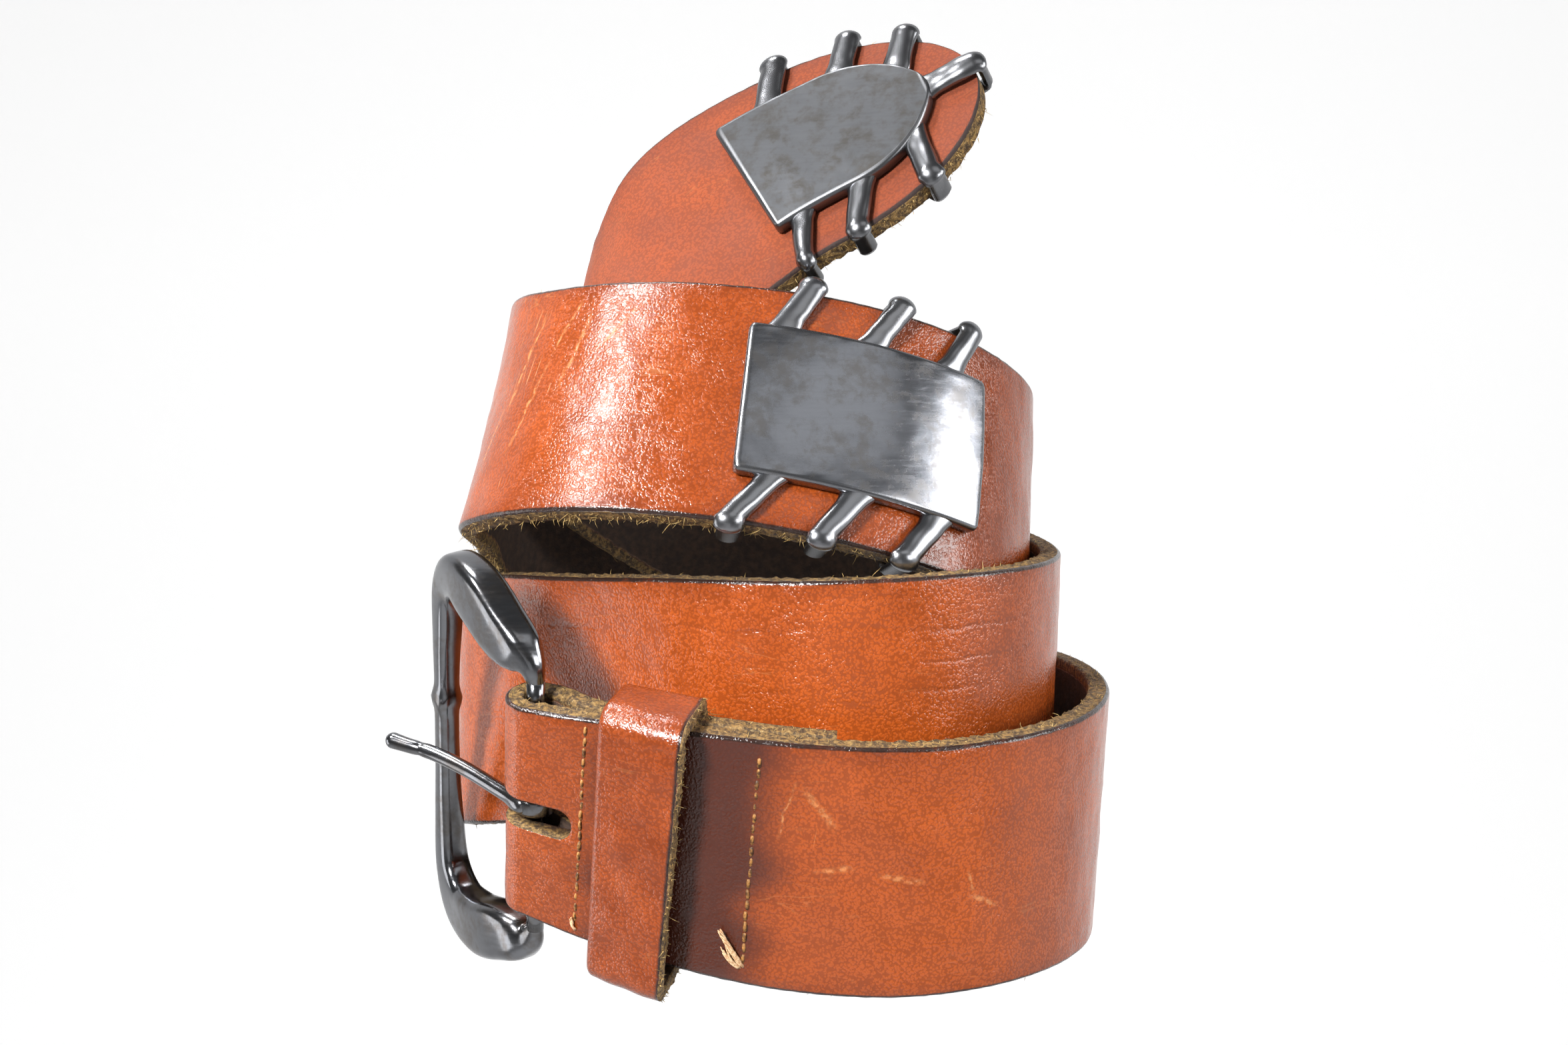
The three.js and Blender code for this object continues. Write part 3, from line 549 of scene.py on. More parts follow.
# %% Sizes of the strip, in millimetres
HALF_WIDTH, THICK, TIP_LENGTH = 17.5, 3.0, 26.0
GRAIN_RADIUS, FLESH_RADIUS = 0.6, 0.35  # of the section's corners
GAP = 0.3  # between parts that touch on the real belt
BAR_RADIUS = 1.2
FOLD_END, FOLD_BULGE = 41.0, 9.0  # how far from the bar the fold ends, and where its layers meet
FOLD_THICK = 2.5  # round the bar, where the strip is narrower too
FOLD_NARROWING, NARROWING_LENGTH = 3.0, 45.0
LAYER_STEP = THICK + GAP
LOOP_RADIUS = BAR_RADIUS + GAP + FOLD_THICK / 2
BAR_CENTRE = on_strap(0, 0, -LOOP_RADIUS)
GRID_STEP = 0.75
LOOP_RINGS, TIP_RINGS = 25, 55
print("centre of the bar", BAR_CENTRE.round(2))

# %% The section of the strip


def section_columns():
    """The section as columns, each a row of numbers: shares of the half width and of the half
    thickness, and of the grain corner's and the flesh corner's radius, for w and for h. The last
    number is the kind of the column: 0 grain, 1 grain corner, 2 cut, 3 flesh corner, 4 flesh."""
    grain = [(f, -f, 0, 1, 0, 0, 0) for f in np.linspace(1, -1, 27)]
    flanks = []
    for side in (-1, 1):
        corner = [(side, side * (np.sin(a) - 1), 0, 1, np.cos(a) - 1, 0, 1)
                  for a in np.radians((22, 45, 68, 90))]
        cut = [(side, 0, 0, 1 - 2 * t, t - 1, t, 2) for t in (0.2, 0.4, 0.6, 0.8)]
        under = [(side, 0, side * (np.cos(a) - 1), -1, 0, 1 - np.sin(a), 3)
                 for a in np.radians((0, 45, 90))]
        flanks.append(corner + cut + under)
    flesh = [(f, 0, -f, -1, 0, 0, 4) for f in np.linspace(-1, 1, 17)[1:-1]]
    return np.array(grain + flanks[0] + flesh + flanks[1][::-1])


COLUMNS = section_columns()
KIND = COLUMNS[:, 6]
LOW_CORNER = COLUMNS[:, 4] < -0.8  # the grain corner's last column belongs to the cut
print(len(COLUMNS), "points in a section")


def section(half, thick):
    """w and h of each column, for arrays of half widths and half thicknesses. Both radii shrink
    to 0.7 of the half width where that is less."""
    half, thick = half[:, None], thick[:, None]
    big, small = (np.minimum(radius, 0.7 * half) for radius in (GRAIN_RADIUS, FLESH_RADIUS))
    w = COLUMNS[:, 0] * half + COLUMNS[:, 1] * big + COLUMNS[:, 2] * small
    h = COLUMNS[:, 3] * thick + COLUMNS[:, 4] * big + COLUMNS[:, 5] * small
    return w, h


# %% The path of the strip


def halves_at(s):
    """Half the width and half the thickness, both a little less near the bar: the width's loss
    fades with the square of the distance left, and the thickness's in a straight line."""
    narrow = np.clip(1 - s / NARROWING_LENGTH, 0, None)
    thin = np.clip(1 - s / FOLD_BULGE, 0, None)
    return HALF_WIDTH - FOLD_NARROWING / 2 * narrow**2, THICK / 2 - (THICK - FOLD_THICK) / 2 * thin


def layer_depth(s):
    """Depth of the folded-back layer: wide beside the bar, then closing up by half a cosine."""
    run = np.clip((s - BAR_RADIUS) / (FOLD_BULGE - BAR_RADIUS), 0, 1)
    return LAYER_STEP + (2 * LOOP_RADIUS - LAYER_STEP) * (1 + np.cos(np.pi * run)) / 2


def strip_path():
    """Middle points, across directions, distances along the strip, half widths and halves of the
    thickness, from the folded-back end to the tip."""
    rear = np.arange(FOLD_END, 0, -GRID_STEP)
    turn = np.linspace(0, np.pi, LOOP_RINGS)[:-1, None]
    loop = BAR_CENTRE - LOOP_RADIUS * (bar_out * np.cos(turn) + bar_along * np.sin(turn))
    straight = STRAP_LENGTH - TIP_LENGTH
    front = np.linspace(0, straight, int(straight / GRID_STEP) + 1)
    tip_turn = np.radians(np.linspace(0, 89, TIP_RINGS + 1))[1:]
    tip = straight + TIP_LENGTH * np.sin(tip_turn)
    outer = np.r_[front, tip]
    points = np.concatenate([on_strap(rear, 0, -layer_depth(rear)), loop, on_strap(outer, 0, 0)])
    across = np.concatenate([axes_at(rear)[1], np.tile(bar_across, (len(turn), 1)), axes_at(outer)[1]])
    s = np.r_[-np.pi * LOOP_RADIUS - rear, LOOP_RADIUS * (turn[:, 0] - np.pi), outer]
    half, thick = halves_at(np.r_[rear, np.zeros(len(turn)), outer])
    half[-len(tip):] = HALF_WIDTH * np.cos(tip_turn)
    return points, across, s, half, thick


path, path_across, path_s, path_half, path_thick = strip_path()
path_out = unit(np.cross(unit(np.gradient(path, axis=0)), path_across))
print(len(path), "rings")

# %% Points of the strip
RAGGED = np.select([KIND == 1, KIND == 2, KIND == 3], [0.25, 1.0, 1.3], 0.0)
DENTED = np.where(KIND == 0, 1, 0.4)
SMOOTH_END = 2  # millimetres of half width below which the tip's edge stays smooth
section_w, section_h = section(path_half, path_thick)
s_grid = np.broadcast_to(path_s[:, None], section_w.shape)
rag = 0.10 * ripple(s_grid, section_h * 2, 2.6, 11) + 0.07 * ripple(s_grid, section_h * 3, 1.5, 12)
section_w = section_w + np.sign(section_w) * rag * RAGGED * (path_half[:, None] > SMOOTH_END)
dents = 0.07 * ripple(s_grid, section_w, 14, 21) + 0.035 * ripple(s_grid, section_w, 5, 22)
section_h = section_h + dents * DENTED
strip_points = (path[:, None] + path_across[:, None] * section_w[..., None]
                + path_out[:, None] * section_h[..., None])
print("box of the strip in mm", strip_points.min((0, 1)).round(1), strip_points.max((0, 1)).round(1))

# %% Marks of the strip
TONE_ALONG = np.array([  # distance along the strip and how light the leather is there
    (-60, 0.3), (0, 0.46), (10, 0.46), (22, 0.40), (36, 0.56), (60, 0.72), (84, 0.62), (110, 0.45),
    (240, 0.55), (262, 0.44), (285, 0.58), (330, 0.62), (480, 0.5), (505, 0.44), (540, 0.40), (575, 0.46),
    (600, 0.42), (700, 0.28), (725, 0.28), (755, 0.18), (775, 0.12)])
WORN_SPOTS = ((41, 4.5, 3.5), (53, -1.6, 4), (63.5, -7.4, 4))  # s, w and reach
WORN_PART, SHADOW_AND_STAIN_PART, DULL_FROM = (500, 524), (10, 32.5), 690  # distances along the strip
RIM_FADE = 0.55


def window(value, low, high, soft):
    """1 between low and high, fading to 0 over the distance soft on either side."""
    ramp = np.clip(np.minimum(value - low, high - value) / soft + 0.5, 0, 1)
    return ramp * ramp * (3 - 2 * ramp)


tone = np.interp(s_grid, *TONE_ALONG.T) + 0.035 * ripple(s_grid, section_w, 18, 31)
tone = tone - 0.15 * window(np.abs(section_w), 15.5, 30, 3)
from_rim = np.clip(path_half[:, None] - np.abs(section_w), 0, None)
rim = np.where(KIND == 0, np.exp(-from_rim / RIM_FADE), np.where(KIND == 1, 0.9, 0))
wear = 0.3 + 0.18 * ripple(s_grid, section_w, 22, 41)
wear = np.maximum(wear, window(s_grid, *WORN_PART, 8) * window(section_w, -14, 15, 6))
for spot_s, spot_w, reach in WORN_SPOTS:
    apart = (s_grid - spot_s) ** 2 + (section_w - spot_w) ** 2
    wear = np.maximum(wear, np.exp(-apart / reach**2))
# Darker leather beside and under the keeper, with the keeper's painted shadow in it.
smoke = 0.9 * window(s_grid + 1.5 * ripple(section_w, 0, 12, 45), *SHADOW_AND_STAIN_PART, 8)
marks = {
    "tone": tone, "rim": rim, "wear": np.clip(wear, 0, 1) * (1 - smoke), "smoke": smoke,
    "cut": np.broadcast_to((KIND == 2) | (KIND == 3) | LOW_CORNER, s_grid.shape),
    "flesh": np.broadcast_to(KIND == 4, s_grid.shape), "dull": np.clip((s_grid - DULL_FROM) / 30, 0, 1)}
strip = new_piece(
    "strip", strip_points, grid_faces(len(path), len(COLUMNS), False), strap_leather, "belt",
    "strap_leather", np.stack([s_grid, section_w], -1) / 100, marks)
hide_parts("strap")

# %% [markdown]
# ## The slot and the holes
# The prong comes up through a slot at the fold, and a row of holes waits near the tip. A punch
# makes both on the real belt. Here a Boolean modifier takes a closed tool out of the strip. The
# tool carries the same marks as the strip, set to raw hide, so the walls of the cut show it.

# %% The punches
SLOT_WIDTH, SLOT_REACH = 4.4, 7.4
HOLE_DIAMETER, HOLE_COUNT, HOLE_PITCH, FIRST_HOLE_FROM_TIP = 4.4, 5, 24.0, 77.0


def punch(name, rings):
    """A closed tool from rings of points, marked as raw hide."""
    rings = np.array(rings)
    shape = rings.shape[:2]
    tool = new_piece(
        name, rings, grid_faces(*shape, False), strap_leather, "belt", "strap_leather",
        np.zeros((*shape, 2)), {key: np.full(shape, float(key == "cut")) for key in marks})
    tool.hide_render = True
    return tool


def take_out(piece, tool):
    """Cuts the tool out of the piece, applies the cut and throws the tool away."""
    cutter = piece.modifiers.new("punch", "BOOLEAN")
    cutter.operation = "DIFFERENCE"
    cutter.solver = "EXACT"
    cutter.object = tool
    bpy.context.view_layer.update()
    evaluated = piece.evaluated_get(bpy.context.evaluated_depsgraph_get())
    cut_mesh = bpy.data.meshes.new_from_object(evaluated)
    piece.modifiers.clear()
    piece.data = cut_mesh
    bpy.data.objects.remove(tool)
    print(piece.name, "has", len(cut_mesh.polygons), "faces after the punch")


radius = SLOT_WIDTH / 2
turn = np.linspace(-np.pi / 2, np.pi / 2, 25)
slot_a = np.r_[-2 * SLOT_REACH, SLOT_REACH - radius + radius * np.cos(turn), -2 * SLOT_REACH]
slot_w = np.r_[-radius, radius * np.sin(turn), radius]
slot_rings = [on_strap(0, slot_w, h) + bar_along * slot_a[:, None]
              for h in (-2 * LOOP_RADIUS - THICK - 1, THICK)]
take_out(strip, punch("slot_punch", slot_rings))

# %% The holes near the tip
turn = np.linspace(0, 2 * np.pi, 32, endpoint=False)
for i in range(HOLE_COUNT):
    hole_s = STRAP_LENGTH - FIRST_HOLE_FROM_TIP - i * HOLE_PITCH + HOLE_DIAMETER / 2 * np.cos(turn)
    rings = [on_strap(hole_s, HOLE_DIAMETER / 2 * np.sin(turn), h) for h in (-THICK, THICK)]
    take_out(strip, punch("hole_punch", rings))

# %% [markdown]
# ## The keeper
# The keeper is a short loop of thinner leather that hangs on the strip's upper edge. Its edge
# towards the buckle is folded smooth, and the other one is cut raw and has frayed. A section of
# the leather is carried round a rectangle with round corners, laid out on the flat strip.

# %% Sizes of the keeper
KEEPER = {"start": 11.0, "width": 11.2, "thick": 1.9, "inner_height": 36.8, "inner_depth": 6.9,
          "flare": 2.0, "corner": 1.35, "rounder": 0.6, "smooth_edge": 0.85, "raw_edge": 0.3}
keeper_leather = waxed_leather(
    "waxed keeper leather", (0.16, 0.028, 0.007), (0.52, 0.098, 0.013), 0.20, 0.5, 2300.0)
half_there = halves_at(KEEPER["start"] + KEEPER["width"])[0]
keeper_top = half_there + GAP + KEEPER["thick"] / 2
keeper_bottom = keeper_top - KEEPER["inner_height"] - KEEPER["thick"]
keeper_rear = -LAYER_STEP - THICK / 2 - GAP - KEEPER["thick"] / 2
keeper_front = keeper_rear + KEEPER["inner_depth"] + KEEPER["thick"]
print("the keeper's middle line goes from", round(keeper_bottom, 2), "to", round(keeper_top, 2), "mm")

# %% The line round the strip


def rounded_rectangle(top, bottom, front, rear, corner, step):
    """Points and outward directions round a rectangle in w and h whose corners are arcs."""
    high_w, low_w, high_h, low_h = top - corner, bottom + corner, front - corner, rear + corner
    centres = np.array([(high_w, high_h), (high_w, low_h), (low_w, low_h), (low_w, high_h)])
    places, aims = [], []
    for k, (centre, after) in enumerate(zip(centres, np.roll(centres, -1, axis=0))):
        angles = np.radians(np.linspace(90 * k, 90 * k + 90, 8))
        out = corner * np.stack([np.sin(angles), np.cos(angles)], -1)
        side = after - centre
        share = np.linspace(0, 1, max(2, int(np.linalg.norm(side) / step)) + 1)[1:-1, None]
        places += [centre + out, centre + out[-1] + side * share]
        aims += [angles, np.full(len(share), angles[-1])]
    return *np.concatenate(places).T, np.concatenate(aims)


loop_w, loop_h, loop_aim = rounded_rectangle(
    keeper_top, keeper_bottom, keeper_front, keeper_rear, KEEPER["corner"] + KEEPER["rounder"], 0.5)
loop_length = run_lengths(np.stack([loop_w, loop_h], -1))
print("length round the keeper", round(float(loop_length[-1]), 1), "mm")

# %% The keeper's section


def leather_section(width, thick, left_radius, right_radius):
    """Round the section of a flat strip: run across its width, depth from its middle, and whether
    the point lies on the right-hand cut."""
    half = thick / 2
    over = np.linspace(left_radius, width - right_radius, 18)
    under = np.linspace(width - right_radius, left_radius, 14)
    right = np.radians(np.linspace(90, -90, 9)[1:-1])
    left = np.radians(np.linspace(270, 90, 11)[1:-1])
    run = [over, width - right_radius + right_radius * np.cos(right),
           under, left_radius + left_radius * np.cos(left)]
    depth = [0 * over + half, np.sign(right) * (half - right_radius) + right_radius * np.sin(right),
             0 * under - half, np.sign(np.sin(left)) * (half - left_radius) + left_radius * np.sin(left)]
    is_cut = [0 * over, 0 * right + 1, 0 * under, 0 * left]
    return np.concatenate(run), np.concatenate(depth), np.concatenate(is_cut)


run, depth, is_cut = leather_section(
    KEEPER["width"], KEEPER["thick"], KEEPER["smooth_edge"], KEEPER["raw_edge"])
print(len(run), "points round the section,", int(is_cut.sum()), "of them on the raw cut")

# %% The keeper's loop
round_loop = np.broadcast_to(loop_length[:, None], (len(loop_w), len(run)))
fray = 0.12 * ripple(round_loop, depth * 2, 1.6, 51) + 0.10 * ripple(round_loop, depth * 3, 0.9, 52)
ragged_run = run + fray * is_cut
bulge = 0.06 * ripple(round_loop, run[None, :], 7, 53) * (depth > 0)
share = np.clip(ragged_run / KEEPER["width"], 0, 1)
keeper_w = loop_w[:, None] + (depth + bulge) * np.sin(loop_aim)[:, None]
keeper_h = loop_h[:, None] + (depth + bulge) * np.cos(loop_aim)[:, None]
hinge = keeper_rear + KEEPER["corner"]
keeper_h = keeper_h + KEEPER["flare"] * share * np.clip((keeper_h - hinge) / (keeper_front - hinge), 0, None)
keeper_points = on_strap(KEEPER["start"] + ragged_run, keeper_w, keeper_h)
print("the raw edge strays by up to", round(float(np.abs(fray * is_cut).max()), 2), "mm")

# %% Marks of the keeper
everywhere = np.ones_like(round_loop)
from_smooth_edge, from_raw_edge = run - 0.3, np.clip(KEEPER["width"] - 0.3 - run, 0, None)
keeper_marks = {
    "tone": 0.40 + 0.05 * ripple(round_loop, run[None, :], 9, 54) - 0.12 * np.exp(-from_smooth_edge**2 / 0.8),
    "rim": (depth > 0.4) * np.exp(-from_raw_edge / 0.35) * (1 - is_cut) * everywhere,
    "wear": np.clip(0.3 + 0.3 * ripple(round_loop, run[None, :], 12, 55), 0, 1),
    "cut": is_cut * everywhere, "flesh": (depth < -0.8) * everywhere, "smoke": 0 * everywhere}
keeper = new_piece(
    "keeper", keeper_points, grid_faces(len(loop_w), len(run), True), keeper_leather, "belt",
    "keeper_leather", np.stack([ragged_run, round_loop], -1) / 100, keeper_marks)
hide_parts("keeper_loop")

# %% [markdown]
# ## What the hardware is made of
# The buckle and the ornaments are cast and then plated a dark gunmetal. The plating is bright
# enough to mirror the room, and has a thin brown tarnish in blots and fine rubs from wear. Metal
# has no colour of its own beside its reflections, so the finish is mostly a matter of roughness.

# %% Node group: tarnish
tarnish_group, enters, leaves = new_group(
    "tarnish", {"Place": None, "Blots": 90.0, "Amount": 0.5},
    {"Share": "Float", "Rub": "Float", "Height": "Float"})
blot = noise(enters["Place"], enters["Blots"], 8.0, 0.68, 0.3)
speck = noise(enters["Place"], 900.0, 4.0, 0.6)
tarnished = levels(blot + (speck - 0.5) * 0.35, 0.42, 0.68) * enters["Amount"]
rubs = levels(noise(stretched(enters["Place"], (260, 260, 2600)), 1.0), 0.35, 0.75)
fill(leaves, {"Share": tarnished, "Rub": rubs, "Height": noise(enters["Place"], 240.0)})
print("tarnish takes", [item.name for item in tarnish_group.interface.items_tree])

# %% Gunmetal
WORN_COLOUR, WORN_ROUGH = (0.28, 0.285, 0.30), 0.27


def gunmetal(name, bright, brown, rough, amount, blots):
    """Plated metal that goes from its bright colour to a brown one where it is tarnished, and to
    a paler, smoother one where it is worn."""
    material, tree, shader, place, _ = new_finish(name)
    tarnish = use(tarnish_group, {"Place": place, "Blots": blots, "Amount": amount})
    worn = mark(tree, "worn")
    colour = tint(worn * 0.7, tint(tarnish["Share"], bright, brown), WORN_COLOUR)
    dull = tarnish["Share"] * 0.14 + rough + tarnish["Rub"] * 0.07
    fill(shader, {"Base Color": colour, "Roughness": blend(worn, dull, WORN_ROUGH), "Metallic": 1.0})
    set_relief(shader, tarnish["Share"] * -0.25 + tarnish["Height"], 0.06 * MM, 0.35)
    return material


buckle_metal = gunmetal("buckle gunmetal", (0.21, 0.215, 0.23), (0.11, 0.085, 0.062), 0.15, 0.55, 140.0)
plate_metal = gunmetal("ornament gunmetal", (0.25, 0.26, 0.285), (0.18, 0.165, 0.15), 0.21, 0.6, 220.0)
tip_metal = gunmetal("tarnished gunmetal", (0.062, 0.064, 0.068), (0.050, 0.044, 0.036), 0.5, 0.6, 300.0)
for finish in (buckle_metal, plate_metal, tip_metal):
    print("finish", finish.name)

# %% [markdown]
# ## The buckle's frame
# The frame is a heavy open hoop, cast in one piece with its bar. A table gives the middle and
# the size of its section at a few places of one half, from the bar to the outer side. A curve
# through them places rings of a rounded oblong section. The other half is its mirror image.

# %% The buckle's own axes


def buckle_place(swing_degrees):
    """A rule that takes distances out from the bar, up along it and towards the face, from the
    bar's middle, to a place: centre + a out + b up + c face, with out and face turned by swing."""
    swing = math.radians(swing_degrees)
    out = -bar_along * math.cos(swing) + bar_out * math.sin(swing)
    face = bar_out * math.cos(swing) + bar_along * math.sin(swing)

    def place(a, b, c):
        a, b, c = (np.asarray(v)[..., None] for v in (a, b, c))
        return BAR_CENTRE + out * a + bar_across * b + face * c
    return place


print("10 mm out from the bar, unturned:", buckle_place(0)(10, 0, 0).round(1))

# %% A curve through points


def curve_through(points, count):
    """A centripetal Catmull-Rom curve: between two points it is a cubic whose end slopes come
    from the neighbours, weighed by the square roots of the distances. The first two columns are
    the place, and any others are sizes that follow it."""
    points = np.asarray(points, float)
    padded = np.vstack([2 * points[0] - points[1], points, 2 * points[-1] - points[-2]])
    knots = np.sqrt(np.linalg.norm(np.diff(padded[:, :2], axis=0), axis=1))[:, None]
    position = np.linspace(0, len(points) - 1, count)
    k = np.minimum(position.astype(int), len(points) - 2)
    t = (position - k)[:, None]
    p0, p1, p2, p3 = (padded[k + i] for i in range(4))
    d0, d1, d2 = (knots[k + i] for i in range(3))
    slope1 = ((p1 - p0) / d0 - (p2 - p0) / (d0 + d1) + (p2 - p1) / d1) * d1
    slope2 = ((p2 - p1) / d1 - (p3 - p1) / (d1 + d2) + (p3 - p2) / d2) * d1
    return (p1 + slope1 * t + (3 * (p2 - p1) - 2 * slope1 - slope2) * t**2
            + (2 * (p1 - p2) + slope1 + slope2) * t**3)


print("half way round a corner:", curve_through([(0, 0), (10, 0), (10, 10)], 5)[1].round(2))

# %% A rounded oblong


def oblong(half_width, half_depth, squareness, sides=48):
    """A superellipse: |x / half_width|^n + |y / half_depth|^n = 1, for arrays of sizes and n."""
    turn = np.linspace(0, 2 * np.pi, sides, endpoint=False)
    power = 2 / np.asarray(squareness)[:, None]
    x = np.sign(np.cos(turn)) * np.abs(np.cos(turn)) ** power * np.asarray(half_width)[:, None]
    y = np.sign(np.sin(turn)) * np.abs(np.sin(turn)) ** power * np.asarray(half_depth)[:, None]
    return x, y


print("corner of an oblong of 2 x 2:", oblong([1], [1], [4], 8)[0][0, 1].round(2), "from its middle")

# %% The table of the frame
FRAME_REACH, LUG_HALF = 25.0, 22.3
FRAME_SWING = -33  # degrees round the bar
FRAME_BOW, FRAME_DROP = 1.0, 1.2
KNOT_UP, KNOT_LENGTH, KNOT_SWELL = 4.2, 1.3, 0.28
FRAME_SECTIONS = np.array([  # out, up, width in the frame's plane, depth, squareness
    (0, LUG_HALF - 4.6, 2.2, 2.2, 2.0), (0.1, LUG_HALF - 3.0, 2.5, 2.4, 2.1),
    (0.9, LUG_HALF - 1.3, 4.0, 3.4, 2.4), (2.8, LUG_HALF - 0.1, 6.2, 4.9, 3.2),
    (7, LUG_HALF + 1.3, 7.9, 5.4, 4.2), (13, LUG_HALF + 3.6, 8.2, 5.4, 4.6),
    (19, LUG_HALF + 3.7, 7.0, 4.8, 4.2), (23.2, LUG_HALF, 4.6, 4.2, 3.4), (24.6, 14, 3.6, 3.6, 3.0),
    (FRAME_REACH, 6, 3.2, 3.2, 2.8)])
print(len(FRAME_SECTIONS), "sections in one half of the frame")

# %% The frame's hoop
other_half = FRAME_SECTIONS[::-1] * (1, -1, 1, 1, 1)
line, sizes = np.split(curve_through(np.vstack([FRAME_SECTIONS, other_half]), 240), [2], axis=1)
ahead = unit(np.gradient(line, axis=0))
x, y = oblong(sizes[:, 0] / 2, sizes[:, 1] / 2, np.clip(sizes[:, 2], 2, 5))
on_outer_side = line[:, :1] > 0.8 * FRAME_REACH
knot = 1 + KNOT_SWELL * np.exp(-((line[:, 1:] - KNOT_UP) / KNOT_LENGTH) ** 2) * on_outer_side
x, y = x * knot, y * knot
half_reach = FRAME_REACH / 2
bow = FRAME_BOW * np.clip(1 - ((line[:, 0] - half_reach) / half_reach) ** 2, 0, None)
local_out = line[:, :1] - ahead[:, 1:] * x
local_up = line[:, 1:] + ahead[:, :1] * x - FRAME_DROP
place_frame = buckle_place(FRAME_SWING)
hoop = place_frame(local_out, local_up, y + bow[:, None])
print("thickest place of the hoop", round(float(np.ptp(y, axis=1).max()), 2), "mm")

# %% The frame as one piece


def rod_rings(start, end, radius, rings=12, sides=24):
    """A round bar from start to end: rings of a circle square to the line between them."""
    axis = unit(end - start)
    side = unit(np.cross(axis, (0.3, 0.9, 0.2)))
    turn = np.linspace(0, 2 * np.pi, sides, endpoint=False)[:, None]
    circle = radius * (side * np.cos(turn) + np.cross(axis, side) * np.sin(turn))
    return start + (end - start) * np.linspace(0, 1, rings)[:, None, None] + circle


def joined(name, parts, material, body, slot, marks=None):
    """One piece from several closed grids. Each part is an array of rings x sides points."""
    faces, points, first = [], [], 0
    for rings in parts:
        faces += [[first + k for k in face] for face in grid_faces(*rings.shape[:2], False)]
        points.append(rings.reshape(-1, 3))
        first += len(points[-1])
    return new_piece(name, np.concatenate(points), faces, material, body, slot, marks=marks)


bar_end = LUG_HALF - 3
bar_rod = rod_rings(*(place_frame(0, end - FRAME_DROP, 0) for end in (-bar_end, bar_end)), BAR_RADIUS)
buckle = joined("buckle", [hoop, bar_rod], buckle_metal, "frame", "buckle_gunmetal")
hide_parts("buckle_frame")

# %% [markdown]
# ## The prong
# The prong is a round rod bent from the same metal. Its foot is an eye round the bar, and it
# thickens a little where it leaves the eye. The tip is blunt and bends towards the face.

# %% The prong
PRONG = {"radius": 1.2, "length": 25.2, "swing": -22, "eye_width": 2.6, "eye_radius": 3.0,
         "tip_lift": 3.2, "thickness": 0.83, "knob": 0.34, "neck": 0.07, "end": 0.14}
place_prong = buckle_place(PRONG["swing"])
shank_face = PRONG["eye_radius"] - PRONG["radius"] + 0.2
shank = curve_through([
    (-0.8, shank_face), (5, shank_face), (11.4, shank_face + 0.05), (16, shank_face + 0.5),
    (19, shank_face + 1.1), (22, shank_face + 2.2), (PRONG["length"], shank_face + PRONG["tip_lift"])], 90)
from_bar = shank[:, 0]
to_end = PRONG["length"] - from_bar
rounding = np.sqrt(np.clip(1 - np.clip(1 - to_end / PRONG["radius"], 0, None) ** 2, 0.02, 1))
foot = np.sqrt(np.clip(1 - np.clip((-0.1 - from_bar) / 1.2, 0, 1) ** 2, 0.1, 1))
thickness = PRONG["radius"] * rounding * foot * (
    PRONG["thickness"] + PRONG["knob"] * np.exp(-((from_bar - 0.6) / 1.9) ** 2)
    - PRONG["neck"] * np.exp(-((to_end - 5.2) / 0.5) ** 2) + PRONG["end"] * np.exp(-(to_end / 2.2) ** 2))
ahead = unit(np.gradient(shank, axis=0))
x, y = oblong(thickness, thickness, np.full(len(shank), 2.1), 24)
shank_rings = place_prong(shank[:, :1] - ahead[:, 1:] * y, x, shank[:, 1:] + ahead[:, :1] * y)


def eye_rings(width, outer, bore, sides=48):
    """A ring with a rounded oblong section: rings of that section, turned about the bar."""
    x, y = oblong([width / 2], [(outer - bore) / 2], [3.2], 20)
    turn = np.linspace(0, 2 * np.pi, sides + 1)[:, None]
    reach = (outer + bore) / 2 + y
    return place_prong(reach * np.cos(turn), x + 0 * turn, reach * np.sin(turn))


eye = eye_rings(PRONG["eye_width"], PRONG["eye_radius"], BAR_RADIUS + GAP)
prong = joined("prong", [shank_rings, eye], buckle_metal, "prong", "buckle_gunmetal")
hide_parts("buckle_prong")

# %% [markdown]
# ## The ornaments
# Both ornaments are flat slabs with softly filed edges, cast together with round-backed claws.
# A slab is a row of sections across it. Its half width follows a rule along the strip, and close
# to its ends the section shrinks along an arc, which rounds the edges and the corners.

# %% Sizes of the ornaments
PLATE_HALF, PLATE_THICK, PLATE_EDGE, PLATE_CORNER, PLATE_CROWN = 11.0, 2.0, 0.75, 0.9, 0.45
PLATE_BACK = THICK / 2 + GAP  # height of a slab's back on the strip
WAIST_START, WAIST_LENGTH = 540.3, 33.0
TIP_FROM_END, TIP_STRAIGHT, TIP_OGIVE, TIP_BLUNT = 35.2, 14.2, 15.0, 0.4
CLAW_HALF, CLAW_GRIP = 1.95, 3.4  # half the width, and how far it reaches back behind the strip
CLAW_BELLY, CLAW_BACK = (0.85, 0.6), (1.1, 1.4)  # depth below and above the middle: at the root, in the bend
FACE_COLUMNS, EDGE_COLUMNS, END_RINGS = 25, 8, 6
print("the waist ornament is", WAIST_LENGTH, "mm long, the pointed one", TIP_STRAIGHT + TIP_OGIVE - TIP_BLUNT)

# %% A slab with soft edges


